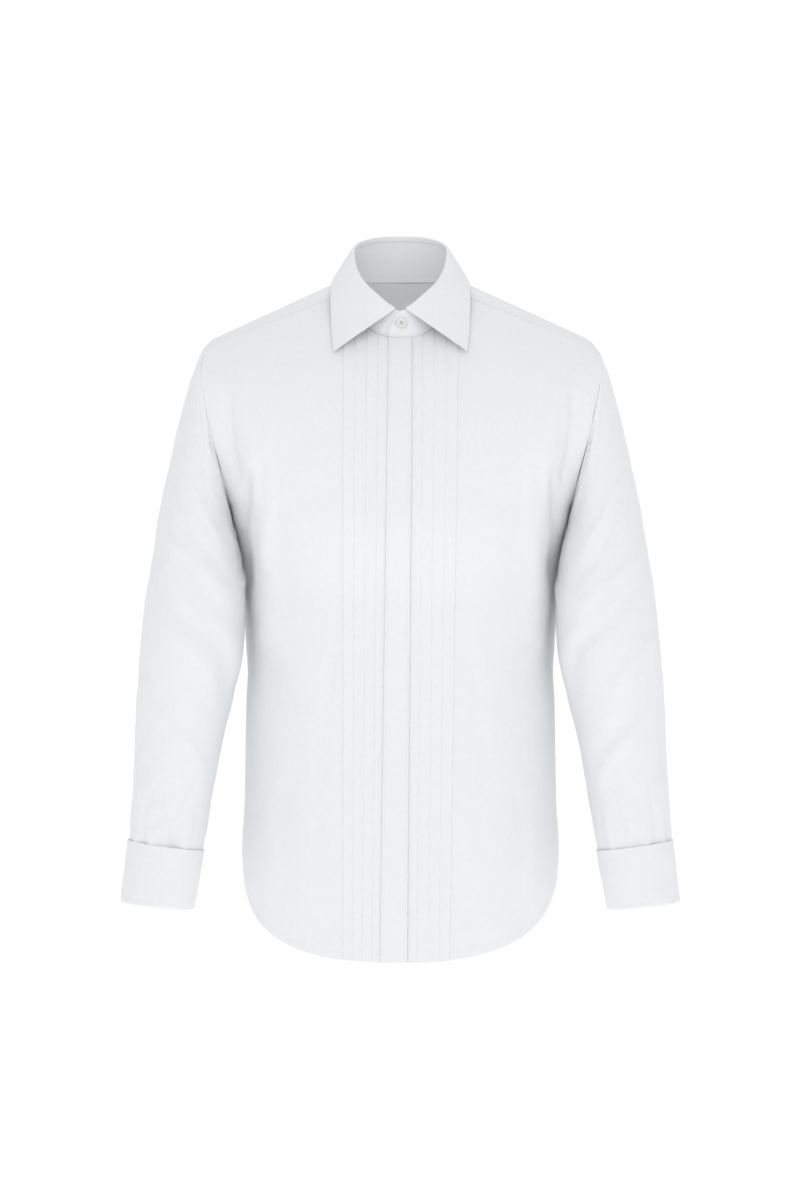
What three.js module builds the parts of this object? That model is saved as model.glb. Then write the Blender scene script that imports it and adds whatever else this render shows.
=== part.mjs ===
// A white evening dress shirt, buttoned and filled out as if worn: pleated bib, fly front, spread collar
// and turned-back double cuffs. Millimetres, +Z up, the front faces -Y, the wearer's left is +X.
// The origin is the centre of the neck, level with the inner ends of the shoulders.
import * as THREE from "three";

const clothThickness = 1.4; // one layer of body cloth
const seamGap = 0.3; // between pieces that are sewn together
const layerStep = clothThickness + seamGap + 0.1; // from one layer to the next one on it
const sectionPower = 2.25; // 2 is an ellipse, more is squarer

// Shoulders and neck
const neckHalfWidth = 66;
const shoulderInnerHeight = 10.5;
const shoulderSlope = 0.459;
const neckRise = 1.5; // of the neckline at the centre back
const frontNeckDrop = 70.1;
const innerRidgeRise = 1.11; // of the unseen ridge line inside the neck hole
const yokeForward = { neck: 16.5, armhole: 7 }; // how far the front yoke seam is below the shoulder line
const backYokeSeam = -98;

// Below the armholes the side seams lie back from the shoulder line.
const sideSeamBack = { from: -245, until: -355, by: 20 };

// Armhole, an ellipse seen from the side
const armhole = { top: -56.5, bottom: -245, halfDepth: 64 };
armhole.middle = (armhole.top + armhole.bottom) / 2;
armhole.halfHeight = (armhole.top - armhole.bottom) / 2;

// Hem, a shirt tail that rises to the side seams
const hem = { front: -749, back: -757, sideRise: 91.5, power: 2.4 };

// Fly front and bib
const fly = { top: -60, shift: -7.5, halfWidthTop: 13, halfWidthHem: 15, underlap: 9 };
const bib = { pleats: 4, topRight: 63, hemRight: 63, topLeft: 64, hemLeft: 54, cloth: 1.0, pleatLift: 1.2 };

// Body sizes by height: half width at the side seam or armhole edge
const bodyWidths = [
  { z: -790, half: 169 },
  { z: -700, half: 173 },
  { z: -665, half: 176 },
  { z: -630, half: 178.5 },
  { z: -575, half: 175.5 },
  { z: -519, half: 174.5 },
  { z: -463, half: 173.5 },
  { z: -430, half: 172 },
  { z: -405, half: 173.5 },
  { z: -350, half: 176.8 },
  { z: -310, half: 178.8 },
  { z: -280, half: 181.3 },
  { z: -262, half: 184.2 },
  { z: -245, half: 190 },
  { z: -207, half: 199.5 },
  { z: -174, half: 208 },
  { z: -129, half: 217.5 },
  { z: -97, half: 223 },
  { z: -75, half: 219.5 },
  { z: -56.5, half: 212 },
];

// Body sizes by height: how far the front and the back stand from the shoulder line
const bodyDepths = [
  { z: -790, front: 119, back: 102 },
  { z: -620, front: 122, back: 100 },
  { z: -520, front: 122, back: 93 },
  { z: -420, front: 124, back: 88 },
  { z: -320, front: 127, back: 98 },
  { z: -250, front: 123, back: 115 },
  { z: -200, front: 120, back: 118 },
  { z: -150, front: 112, back: 117 },
  { z: -100, front: 95, back: 110 },
  { z: -64, front: 72, back: 101 },
  { z: -39, front: 51, back: 92 },
  { z: -16, front: 30, back: 80 },
  { z: 5, front: 16, back: 66 },
  { z: 12, front: 12, back: 62 },
  { z: 80, front: 4, back: 20 },
];

// Sleeve rings from the armhole to the cuff: the outer and the inner end of each ring as seen from the
// front, half the depth from front to back, and how far back its middle lies
const sleeveRings = [
  { outX: 212, outZ: -56.5, inX: 190, inZ: -245, depth: 64, mid: 0 },
  { outX: 222.5, outZ: -69.5, inX: 189.8, inZ: -249, depth: 64.5, mid: -0.5 },
  { outX: 234.3, outZ: -99, inX: 189.2, inZ: -254, depth: 65, mid: -2 },
  { outX: 246, outZ: -143, inX: 188, inZ: -262, depth: 65, mid: -5 },
  { outX: 257, outZ: -190, inX: 186, inZ: -273, depth: 64, mid: -10 },
  { outX: 267, outZ: -236, inX: 181.5, inZ: -288, depth: 62, mid: -16 },
  { outX: 275.5, outZ: -290, inX: 177.3, inZ: -314, depth: 60, mid: -23 },
  { outX: 284, outZ: -345, inX: 174, inZ: -352, depth: 58, mid: -29 },
  { outX: 290, outZ: -400, inX: 175.8, inZ: -402, depth: 56, mid: -33 },
  { outX: 294, outZ: -455, inX: 190.5, inZ: -458, depth: 53, mid: -34 },
  { outX: 296.3, outZ: -510, inX: 200.8, inZ: -515, depth: 49.5, mid: -35 },
  { outX: 298.8, outZ: -560, inX: 210.3, inZ: -567, depth: 46, mid: -37 },
  { outX: 301.2, outZ: -600, inX: 217, inZ: -609, depth: 42, mid: -39 },
  { outX: 302.5, outZ: -624, inX: 222.7, inZ: -635, depth: 40, mid: -40 },
];
sleeveRings.forEach((ring, index) => {
  ring.at = index / (sleeveRings.length - 1);
});

// Double cuff: the ring where it starts, the ring at its lower fold, and the ring of its turned-up edge
const cuffRings = {
  seam: { outX: 302.5, outZ: -624.4, inX: 222.8, inZ: -635.4, depth: 40, mid: -40.2 },
  fold: { outX: 307.9, outZ: -683.5, inX: 233.8, inZ: -692, depth: 39.5, mid: -45 },
  edge: { outX: 305.6, outZ: -616, inX: 217.6, inZ: -628, depth: 45, mid: -39.5 },
};
const cuff = { layerGap: 3.4, slitAngle: 290, slitHalf: 3.5 };
const sleevePlacket = { halfWidth: 12, length: 0.22 };

// Top of the collar, the roll line, by angle round the neck from the centre back
const rollWidth = 52;
const rollBack = 58;
const rollFront = 66;
const rollHeights = [
  { angle: 0, z: 63.4 },
  { angle: 15, z: 63.1 },
  { angle: 30, z: 61.6 },
  { angle: 45, z: 58.8 },
  { angle: 64, z: 53.5 },
  { angle: 90, z: 42 },
  { angle: 106, z: 26.5 },
  { angle: 124, z: 10 },
  { angle: 149, z: -8.5 },
  { angle: 173, z: -25 },
  { angle: 180, z: -27.5 },
  { angle: 200, z: -36 },
];
const collarFrontAngle = 173; // where the collar leaf stops on the band
const bandEndAngle = 192; // the band runs past the centre front, to carry the button
const rollGap = 4.6; // the leaf starts this far below the roll line, inside
const leafWidthAtRoll = 3.4;

// Outer edge of the collar leaf, by the same angle
const leafEdge = [
  { angle: 0, x: 0, y: 79, z: 6 },
  { angle: 45, x: 54, y: 61, z: 8 },
  { angle: 90, x: 76.5, y: 12, z: 11.5 },
  { angle: 120, x: 78.8, y: -24.5, z: -6 },
  { angle: 150, x: 77.5, y: -56, z: -42 },
  { angle: 173, x: 73.6, y: -85, z: -73 },
];

const button = { radius: 5.7, thickness: 2.4, holeRadius: 0.9, holeSpacing: 1.5 };

// Main folds of the body, on both sides alike: straight lines seen from the front or the back, with the
// half width and the height of the ridge, or depth of the trough where it is negative
const bodyFolds = [
  { side: "front", x0: 180, z0: -112, x1: 163, z1: -205, width: 9, height: 3.5 },
  { side: "front", x0: 163, z0: -205, x1: 152, z1: -400, width: 10, height: 3.5 },
  { side: "front", x0: 196, z0: -128, x1: 184, z1: -215, width: 9, height: -4.5 },
  { side: "front", x0: 172, z0: -290, x1: 168, z1: -420, width: 13, height: -4 },
  { side: "back", x0: 182, z0: -118, x1: 160, z1: -330, width: 13, height: 4 },
  { side: "back", x0: 198, z0: -135, x1: 176, z1: -330, width: 10, height: -4 },
  { side: "back", x0: 105, z0: -330, x1: 120, z1: -560, width: 16, height: 3.5 },
  { side: "back", x0: 70, z0: -360, x1: 82, z1: -620, width: 18, height: -3 },
];

// Main folds of a sleeve: angle round the sleeve in degrees, 0 outside, 90 front, and share of its length
const sleeveFolds = [
  { a0: 128, v0: 0.06, a1: 150, v1: 0.4, width: 10, height: 3.2 },
  { a0: 70, v0: 0.42, a1: 150, v1: 0.66, width: 12, height: -3.5 },
  { a0: 110, v0: 0.56, a1: 190, v1: 0.72, width: 12, height: 3 },
  { a0: 30, v0: 0.82, a1: 70, v1: 0.98, width: 10, height: 2.6 },
  { a0: 120, v0: 0.84, a1: 96, v1: 0.98, width: 9, height: -2.6 },
  { a0: 230, v0: 0.1, a1: 250, v1: 0.42, width: 12, height: 3.2 },
  { a0: 300, v0: 0.5, a1: 215, v1: 0.66, width: 12, height: -3 },
];

const mix = (a, b, t) => a + (b - a) * t;
const smooth = (t) => {
  const c = Math.min(1, Math.max(0, t));
  return c * c * (3 - 2 * c);
};
const radians = THREE.MathUtils.degToRad;

// A smooth reading of a table between its rows, with no overshoot.
function readTable(table, key, at) {
  const last = table.length - 1;
  const x = Math.min(table[last][key], Math.max(table[0][key], at));
  let i = 0;
  while (i < last - 1 && x > table[i + 1][key]) i += 1;
  const step = (k, name) => (table[k + 1][name] - table[k][name]) / (table[k + 1][key] - table[k][key]);
  const slope = (k, name) => {
    if (k === 0) return step(0, name);
    if (k === last) return step(last - 1, name);
    const before = step(k - 1, name);
    const after = step(k, name);
    return before * after <= 0 ? 0 : (2 * before * after) / (before + after);
  };
  const width = table[i + 1][key] - table[i][key];
  const t = (x - table[i][key]) / width;
  const found = {};
  for (const name of Object.keys(table[0])) {
    if (typeof table[0][name] !== "number") continue;
    const rise = 2 * t ** 3 - 3 * t ** 2;
    found[name] =
      (rise + 1) * table[i][name] -
      rise * table[i + 1][name] +
      (t ** 3 - 2 * t ** 2 + t) * width * slope(i, name) +
      (t ** 3 - t ** 2) * width * slope(i + 1, name);
  }
  return found;
}

// Body surface

// Height of the shoulder line above a place across the body, and the reverse.
function ridgeHeight(x) {
  const out = Math.abs(x) - neckHalfWidth;
  return shoulderInnerHeight - out * (out > 0 ? shoulderSlope : innerRidgeRise);
}

function ridgeReach(z) {
  const below = shoulderInnerHeight - z;
  return neckHalfWidth + below / (below > 0 ? shoulderSlope : innerRidgeRise);
}

function armholeDepth(z) {
  const t = (z - armhole.middle) / armhole.halfHeight;
  return Math.abs(t) >= 1 ? 0 : armhole.halfDepth * Math.sqrt(1 - t * t);
}

const edgeWidth = (z) => (z > armhole.top ? ridgeReach(z) : readTable(bodyWidths, "z", z).half);

// How far the body stands forward or back at a place across it and a height.
function bodyDepth(x, z, side) {
  const depth = readTable(bodyDepths, "z", z)[side];
  const edge = Math.min(armholeDepth(z), depth * 0.98);
  const reach = edgeWidth(z) / (1 - (edge / depth) ** sectionPower) ** (1 / sectionPower);
  const share = Math.min(1, Math.abs(x) / reach);
  return depth * (1 - share ** sectionPower) ** (1 / sectionPower);
}

// Height of all the folds of one side at a place: a bell across each line, dying away at its ends.
function foldLift(x, z, side) {
  let lift = 0;
  for (const fold of bodyFolds) {
    if (fold.side !== side) continue;
    const dx = fold.x1 - fold.x0;
    const dz = fold.z1 - fold.z0;
    const along = ((Math.abs(x) - fold.x0) * dx + (z - fold.z0) * dz) / (dx * dx + dz * dz);
    const across = ((Math.abs(x) - fold.x0) * dz - (z - fold.z0) * dx) / Math.hypot(dx, dz);
    const fade = smooth(along / 0.3 + 0.6) * smooth((1 - along) / 0.3 + 0.6);
    lift += fold.height * fade * Math.exp(-((across / fold.width) ** 2));
  }
  return lift;
}

const seamShift = (z) =>
  sideSeamBack.by * smooth((sideSeamBack.from - z) / (sideSeamBack.from - sideSeamBack.until));

// A point of the body surface, with the folds pushed straight out from the shoulder line.
function bodyPoint(x, z, side) {
  const y = bodyDepth(x, z, side);
  const away = new THREE.Vector3(x * 0.6, side === "front" ? -y : y, 0);
  const sign = side === "front" ? -1 : 1;
  const point = new THREE.Vector3(x, sign * y + seamShift(z), z);
  const lift = foldLift(x, z, side) * smooth(y / 40);
  return away.lengthSq() > 1 ? point.addScaledVector(away.normalize(), lift) : point;
}

// The same surface by a place across and a signed place over the shoulder, front below zero.
const overScale = 100;
const overPoint = (x, over) => {
  const side = over < 0 ? "front" : "back";
  return bodyPoint(x, ridgeHeight(x) - overScale * over * over, side);
};
const overOf = (x, z) => Math.sqrt(Math.max(0, ridgeHeight(x) - z) / overScale);

// Neckline by angle from the centre back: place across and height.
function neckline(angle) {
  const a = radians(angle);
  const drop = Math.cos(a) > 0 ? neckRise : frontNeckDrop;
  return { x: neckHalfWidth * Math.sin(a), z: shoulderInnerHeight + drop * Math.cos(a) };
}

// Walls

// Outward normals of a grid of points, from their neighbours.
function gridNormals(points, around) {
  const rows = points.length;
  const columns = points[0].length;
  return points.map((row, i) =>
    row.map((point, j) => {
      const left = around ? row[(j + columns - 1) % columns] : row[Math.max(0, j - 1)];
      const right = around ? row[(j + 1) % columns] : row[Math.min(columns - 1, j + 1)];
      const below = points[Math.max(0, i - 1)][j];
      const above = points[Math.min(rows - 1, i + 1)][j];
      const across = new THREE.Vector3().subVectors(right, left);
      const up = new THREE.Vector3().subVectors(above, below);
      return across.cross(up).normalize();
    }),
  );
}

// A closed wall on a grid of points. near and far give how far out its two faces lie, for a row and a
// column of the grid. Where around is true the columns run all the way round.
function wallGeometry(points, near, far, around = false) {
  const normals = gridNormals(points, around);
  const rows = points.length;
  const columns = points[0].length;
  const corners = [];
  for (const offset of [near, far]) {
    points.forEach((row, i) =>
      row.forEach((point, j) => {
        const moved = point.clone().addScaledVector(normals[i][j], offset(i, j));
        corners.push(moved.x, moved.y, moved.z);
      }),
    );
  }
  const layer = rows * columns;
  const faces = [];
  const quad = (a, b, c, d) => faces.push(a, b, c, a, c, d);
  const at = (side, i, j) => side * layer + i * columns + (j % columns);
  const spans = around ? columns : columns - 1;
  for (let i = 0; i < rows - 1; i += 1) {
    for (let j = 0; j < spans; j += 1) {
      quad(at(1, i, j), at(1, i, j + 1), at(1, i + 1, j + 1), at(1, i + 1, j));
      quad(at(0, i, j), at(0, i + 1, j), at(0, i + 1, j + 1), at(0, i, j + 1));
    }
  }
  for (let j = 0; j < spans; j += 1) {
    quad(at(0, 0, j), at(0, 0, j + 1), at(1, 0, j + 1), at(1, 0, j));
    quad(at(0, rows - 1, j + 1), at(0, rows - 1, j), at(1, rows - 1, j), at(1, rows - 1, j + 1));
  }
  if (!around) {
    for (let i = 0; i < rows - 1; i += 1) {
      quad(at(0, i + 1, 0), at(0, i, 0), at(1, i, 0), at(1, i + 1, 0));
      quad(at(0, i, columns - 1), at(0, i + 1, columns - 1), at(1, i + 1, columns - 1), at(1, i, columns - 1));
    }
  }
  const geometry = new THREE.BufferGeometry();
  geometry.setAttribute("position", new THREE.Float32BufferAttribute(corners, 3));
  geometry.setIndex(faces);
  return geometry;
}

const half = clothThickness / 2;
const clothWall = (points, around) =>
  wallGeometry(
    points,
    () => -half,
    () => half,
    around,
  );

const grid = (rows, columns, point) =>
  Array.from({ length: rows + 1 }, (_, i) =>
    Array.from({ length: columns + 1 }, (_, j) => point(i / rows, j / columns)),
  );

// The same grid the other way round, for the left side or where the faces would point in.
const mirrored = (points) => points.map((row) => row.map((p) => new THREE.Vector3(-p.x, p.y, p.z)).reverse());
const flipped = (points) => points.map((row) => [...row].reverse());

// Front panels

// Sideways drift of the centre front towards the hem.
const flyShift = (z) => fly.shift * Math.min(1, Math.max(0, (fly.top - z) / (fly.top - hem.front)));
const flyHalfWidth = (z) => mix(fly.halfWidthTop, fly.halfWidthHem, flyShift(z) / fly.shift);
const hemHeight = (share, side) => hem[side] + hem.sideRise * Math.abs(share) ** hem.power;

// Edges of the pleats of one half of the bib, as distances from the middle of the fly at a height.
function bibEdges(sign) {
  const [widthTop, widthHem] = sign > 0 ? [bib.topLeft, bib.hemLeft] : [bib.topRight, bib.hemRight];
  const inner = (z) => flyHalfWidth(z) + 0.6;
  const outer = (z) => mix(widthTop, widthHem, flyShift(z) / fly.shift) - sign * flyShift(z);
  return (share) => (z) => mix(inner(z), outer(z), share);
}

const neckCorner = 64.8;
const shoulderEnd = 218;
const waistHalf = 173; // the half width the panels' columns are set out on

const sideSteps = 9;

// Height of the front yoke seam at a place across the body.
function frontSeamHeight(x) {
  const share = Math.min(1, Math.max(0, (x - neckCorner) / (shoulderEnd - neckCorner)));
  const over = mix(Math.sqrt(yokeForward.neck), Math.sqrt(yokeForward.armhole), share);
  return ridgeHeight(x) - over * over;
}

// Top edge of a front panel: the neckline, then the yoke seam.
function frontTop(x) {
  const share = Math.abs(x) / neckHalfWidth;
  const neck = share < 1 ? shoulderInnerHeight - frontNeckDrop * Math.sqrt(1 - share * share) : 0;
  const seam = frontSeamHeight(Math.abs(x)) - seamGap;
  return Math.abs(x) < neckCorner ? Math.min(neck, seam) : seam;
}

// Where the front yoke seam meets the armhole, found by steps.
let yokeSeamEnd = armhole.top - yokeForward.armhole;
for (let k = 0; k < 12; k += 1) yokeSeamEnd = frontTop(edgeWidth(yokeSeamEnd));

// Places across the body at the yoke seam: even turns between the neck and the armhole.
const seamPlace = (share, width) => width * Math.sin(mix(Math.asin(neckCorner / width), Math.PI / 2, share));

// Rows of a front panel: from the hem at -1 up to the underarm at 0 and to the top edge at 1.
const frontSteps = [];
for (let i = 12; i > 0; i -= 1) frontSteps.push(-i / 12);
for (let i = 0; i <= 9; i += 1) frontSteps.push((1 - Math.cos((Math.PI * i) / 9)) / 2);

// A front panel as a grid from its centre edge round to the side seam: columns under the fly, at the
// edges of the pleats, at the neck, and then in even turns. flyColumns are distances from the fly's middle.
function frontGrid(flyColumns, sign) {
  const edges = bibEdges(sign);
  const columns = flyColumns.map((from) => ({ from }));
  for (let k = 0; k <= bib.pleats; k += 1) columns.push({ from: edges(k / bib.pleats) });
  for (let k = 0; k <= sideSteps; k += 1) columns.push({ round: k / sideSteps });
  const place = (column, z, width = edgeWidth(z)) => {
    if (column.from) return sign * flyShift(z) + column.from(z);
    const shift = flyShift(z) * sign * (1 - neckCorner / waistHalf);
    return seamPlace(column.round, width) + shift * (1 - column.round);
  };
  const topOf = (column) => {
    if (column.round === 1) return yokeSeamEnd;
    if (column.from) return frontTop(column.from(fly.top));
    return frontTop(place(column, fly.top, edgeWidth(yokeSeamEnd)));
  };
  const heights = columns.map((column) => {
    const angle = column.from
      ? Math.asin(Math.abs(place(column, hem.front)) / waistHalf)
      : mix(Math.asin(neckCorner / waistHalf), Math.PI / 2, column.round);
    const low = hemHeight(angle / (Math.PI / 2), "front");
    const top = topOf(column);
    return frontSteps.map((step) =>
      step < 0 ? mix(armhole.bottom, low, -step) : mix(armhole.bottom, top, step),
    );
  });
  return frontSteps.map((step, i) => {
    const edgeHeight = heights[columns.length - 1][i];
    return columns.map((column, j) => {
      const z = heights[j][i];
      const width = step > 0 ? edgeWidth(edgeHeight) : edgeWidth(z);
      return bodyPoint(sign * place(column, z, width), z, "front");
    });
  });
}

const sheetMaterial = (name, color) => new THREE.MeshStandardMaterial({ name, color, roughness: 0.85, metalness: 0 });
const poplin = sheetMaterial("white_cotton", 0xeef0f2);
const interlined = sheetMaterial("collar_and_cuff_cotton", 0xf1f3f4);
const pearl = new THREE.MeshStandardMaterial({
  name: "button_shell", color: 0xf2efe9, roughness: 0.3, metalness: 0,
});

const shirt = new THREE.Group();
function add(name, geometry, material) {
  const mesh = new THREE.Mesh(geometry, material);
  mesh.name = name;
  shirt.add(mesh);
}

const rightFront = flipped(frontGrid([() => -fly.underlap, () => 3], -1));
add("front_right", clothWall(rightFront), poplin);

const leftFront = frontGrid([(z) => 0.5 - flyHalfWidth(z), () => -2, () => 8], 1);
const leftLap = [layerStep, layerStep, layerStep]; // its first columns lie over the right front
add(
  "front_left",
  wallGeometry(
    leftFront,
    (i, j) => (leftLap[j] ?? 0) - half,
    (i, j) => (leftLap[j] ?? 0) + half,
  ),
  poplin,
);

// A piece that lies on a front panel, from the panel's own rows. stations give how far out each of its
// columns is, and lifts how thick it is there.
function overlay(panel, sign, rows, stations, near, lifts) {
  const turned = sign > 0 ? panel : flipped(panel);
  const points = rows.map((i) =>
    stations.map((station) => {
      const row = turned[i];
      const z = row[0].z;
      const wanted = sign * flyShift(z) + station(z);
      let j = 0;
      while (j < row.length - 2 && sign * row[j + 1].x < wanted) j += 1;
      const part = (wanted - sign * row[j].x) / (sign * (row[j + 1].x - row[j].x));
      return row[j].clone().lerp(row[j + 1], part);
    }),
  );
  const laid = sign > 0 ? points : flipped(points);
  const list = sign > 0 ? lifts : [...lifts].reverse();
  return wallGeometry(
    laid,
    () => near,
    (i, j) => near + list[j],
  );
}
const allRows = frontSteps.map((_, i) => i);
const overCloth = half + seamGap + 0.1;

// Placket of the fly, on the left front
const flyStations = [-0.99, -0.35, 0.35, 0.99].map((share) => (z) => share * flyHalfWidth(z));
add("fly_placket", overlay(leftFront, 1, allRows, flyStations, layerStep + overCloth, [1.2, 1.2, 1.2, 1.2]), poplin);

// Pleated bib, one half on each side of the placket: each pleat rises away from the fly, then drops
function bibHalf(panel, sign) {
  const edges = bibEdges(sign);
  const stations = [];
  const lifts = [];
  for (let k = 0; k < bib.pleats; k += 1) {
    for (const [at, lift] of [[0.02, 0.2], [0.97, 1]]) {
      stations.push(edges((k + at) / bib.pleats));
      lifts.push(bib.cloth + bib.pleatLift * lift);
    }
  }
  return overlay(panel, sign, allRows, stations, overCloth, lifts);
}
add("bib_right", bibHalf(rightFront, -1), poplin);
add("bib_left", bibHalf(leftFront, 1), poplin);

// Back panel, from side seam to side seam and up to the yoke
const backColumns = 24;
const backRows = { body: 12, blades: 7 };
const backGrid = (() => {
  const rows = backRows.body + backRows.blades;
  return Array.from({ length: rows + 1 }, (_, i) =>
    Array.from({ length: backColumns + 1 }, (_, j) => {
      const turn = mix(-1, 1, j / backColumns);
      const low = hemHeight(turn, "back");
      const sideStart = hemHeight(1, "front") - hemHeight(1, "back");
      const base = low + sideStart * Math.abs(turn) ** 8;
      const v = (i - backRows.body) / backRows.blades;
      const z =
        i <= backRows.body
          ? mix(base, armhole.bottom, i / backRows.body)
          : mix(armhole.bottom, backYokeSeam - seamGap, Math.sin((v * Math.PI) / 2) * 0.35 + v * 0.65);
      return bodyPoint(edgeWidth(z) * Math.sin((turn * Math.PI) / 2), z, "back");
    }),
  );
})();
// The back meets the fronts at the side seams, a seam gap behind them.
const backPoints = flipped(backGrid).map((row) =>
  row.map((p, j) => (j === 0 || j === backColumns ? p.clone().add(new THREE.Vector3(0, seamGap + 0.6, 0)) : p)),
);
add("back", clothWall(backPoints), poplin);

// Yoke: from the front seam round the neck, out to the armholes and the back seam
const yokeColumns = 36;
const yokeSeamWidth = edgeWidth(yokeSeamEnd);
const yokeSteps = Array.from({ length: sideSteps + 1 }, (_, k) => {
  return (seamPlace(k / sideSteps, yokeSeamWidth) - neckCorner) / (yokeSeamWidth - neckCorner);
});
function yokeInner(u) {
  const drop = shoulderInnerHeight - frontTop(neckCorner) - seamGap - 0.5;
  const start = 180 - (Math.acos(drop / frontNeckDrop) * 180) / Math.PI;
  const angle = mix(-start, start, u);
  const { x, z } = neckline(angle);
  return { x, over: overOf(x, z) * (Math.abs(angle) > 90 ? -1 : 1) };
}
// Outer edge by share: along an armhole for the first and last part, along the back seam between them.
const yokeArmholeShare = 0.3;
function yokeOuter(u) {
  const side = u < 0.5 ? -1 : 1;
  const fromFront = Math.min(u, 1 - u);
  const backTurn = -Math.acos((backYokeSeam - armhole.middle) / armhole.halfHeight);
  const frontTurn = Math.acos((yokeSeamEnd + seamGap - armhole.middle) / armhole.halfHeight);
  if (fromFront <= yokeArmholeShare) {
    const turn = mix(frontTurn, backTurn, fromFront / yokeArmholeShare);
    const z = armhole.middle + armhole.halfHeight * Math.cos(turn);
    const x = readTable(bodyWidths, "z", z).half;
    return { x: side * x, over: overOf(x, z) * (turn > 0 ? -1 : 1) };
  }
  const t = (fromFront - yokeArmholeShare) / (0.5 - yokeArmholeShare);
  const x = readTable(bodyWidths, "z", backYokeSeam).half * (1 - t);
  return { x: side * x, over: overOf(x, backYokeSeam) };
}
const yokeGrid = yokeSteps.map((v) =>
  Array.from({ length: yokeColumns + 1 }, (_, j) => {
    const inner = yokeInner(j / yokeColumns);
    const outer = yokeOuter(j / yokeColumns);
    return overPoint(mix(inner.x, outer.x, v), mix(inner.over, outer.over, v));
  }),
);
add("yoke", clothWall(yokeGrid), poplin);

// Sleeves

// A point of a ring that is given by its outer and inner ends and its depth.
function ringPoint(ring, angle) {
  const a = radians(angle);
  const across = Math.cos(a) / 2;
  return new THREE.Vector3(
    (ring.outX + ring.inX) / 2 + (ring.outX - ring.inX) * across,
    ring.mid - ring.depth * Math.sin(a),
    (ring.outZ + ring.inZ) / 2 + (ring.outZ - ring.inZ) * across,
  );
}

function sleeveLift(angle, v) {
  let lift = 0;
  for (const fold of sleeveFolds) {
    const size = 55; // radius of a sleeve, to turn degrees into millimetres
    const length = 560;
    const dx = radians(fold.a1 - fold.a0) * size;
    const dz = (fold.v1 - fold.v0) * length;
    const px = radians(((angle - fold.a0 + 540) % 360) - 180) * size;
    const pz = (v - fold.v0) * length;
    const along = (px * dx + pz * dz) / (dx * dx + dz * dz);
    const across = (px * dz - pz * dx) / Math.hypot(dx, dz);
    const fade = smooth(along / 0.3 + 0.6) * smooth((1 - along) / 0.3 + 0.6);
    lift += fold.height * fade * Math.exp(-((across / fold.width) ** 2));
  }
  return lift * smooth(v / 0.05) * smooth((1 - v) / 0.03);
}

// A point of the sleeve of the side of positive x. Its first ring follows the armhole's edge.
function sleevePoint(v, angle) {
  const ring = readTable(sleeveRings, "at", v);
  const point = ringPoint(ring, angle);
  const first = ringPoint(sleeveRings[0], angle);
  const edge = readTable(bodyWidths, "z", first.z).half;
  const clear = 0.5 + 1.3 * (0.5 - Math.cos(radians(angle)) / 2);
  point.x += (edge + clear - first.x) * (1 - smooth(v / 0.22));
  const centre = new THREE.Vector3((ring.outX + ring.inX) / 2, ring.mid, (ring.outZ + ring.inZ) / 2);
  return point.addScaledVector(new THREE.Vector3().subVectors(point, centre).normalize(), sleeveLift(angle, v));
}

const sleeveAround = 24;
const sleeveRows = [
  0, 0.03, 0.075, 0.13, 0.19, 0.25, 0.32, 0.4, 0.48, 0.555, 0.625, 0.7, 0.775, 0.85, 0.925, 1,
];
const leftSleeve = sleeveRows.map((v) =>
  Array.from({ length: sleeveAround }, (_, j) => sleevePoint(v, (360 * j) / sleeveAround)),
);
add("sleeve_left", clothWall(leftSleeve, true), poplin);
add("sleeve_right", clothWall(mirrored(leftSleeve), true), poplin);

// Double cuffs: down from the sleeve, round the fold and up again outside, open at the back
const mixRing = (a, b, t) =>
  Object.fromEntries(Object.keys(a).map((name) => [name, mix(a[name], b[name], t)]));
const cuffProfile = [
  { ring: "seam", t: 0, out: 0 },
  { ring: "seam", t: 0.5, out: 0 },
  { ring: "seam", t: 0.95, out: 0 },
  { ring: "seam", t: 1, out: cuff.layerGap / 2, drop: 1.4 },
  { ring: "edge", t: 0.95, out: cuff.layerGap },
  { ring: "edge", t: 0.5, out: cuff.layerGap },
  { ring: "edge", t: 0, out: cuff.layerGap },
];
function cuffPoint(step, angle) {
  const ring = mixRing(cuffRings[step.ring], cuffRings.fold, step.t);
  const grown = {
    ...ring,
    outX: ring.outX + (step.ring === "edge" ? step.out * step.t : step.out),
    inX: ring.inX - (step.ring === "edge" ? step.out * step.t : step.out),
    depth: ring.depth + (step.ring === "edge" ? step.out * step.t : step.out),
    outZ: ring.outZ - (step.drop ?? 0),
    inZ: ring.inZ - (step.drop ?? 0),
  };
  return ringPoint(grown, angle);
}
const cuffAround = 24;
const leftCuff = cuffProfile.map((step) =>
  Array.from({ length: cuffAround + 1 }, (_, j) => {
    const open = cuff.slitAngle + cuff.slitHalf;
    return cuffPoint(step, open + ((360 - 2 * cuff.slitHalf) * j) / cuffAround);
  }),
);
const cuffWall = (points) =>
  wallGeometry(
    points,
    () => -0.65,
    () => 0.65,
  );
add("cuff_left", cuffWall(leftCuff), interlined);
add("cuff_right", cuffWall(mirrored(leftCuff)), interlined);

// Sleeve plackets, on the sleeves above the cuffs' openings
const leftPlacket = grid(6, 3, (v, u) => {
  const at = mix(1 - sleevePlacket.length, 0.985, v);
  const ring = readTable(sleeveRings, "at", at);
  const spread = (sleevePlacket.halfWidth / ring.depth) * (180 / Math.PI);
  return sleevePoint(at, cuff.slitAngle + mix(-1, 1, u) * spread);
});
const sleevePlacketWall = (points) =>
  wallGeometry(
    points,
    () => half + seamGap + 0.15,
    () => half + seamGap + 1.25,
  );
add("sleeve_placket_left", sleevePlacketWall(leftPlacket), poplin);
add("sleeve_placket_right", sleevePlacketWall(mirrored(leftPlacket)), poplin);

// Collar

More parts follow.
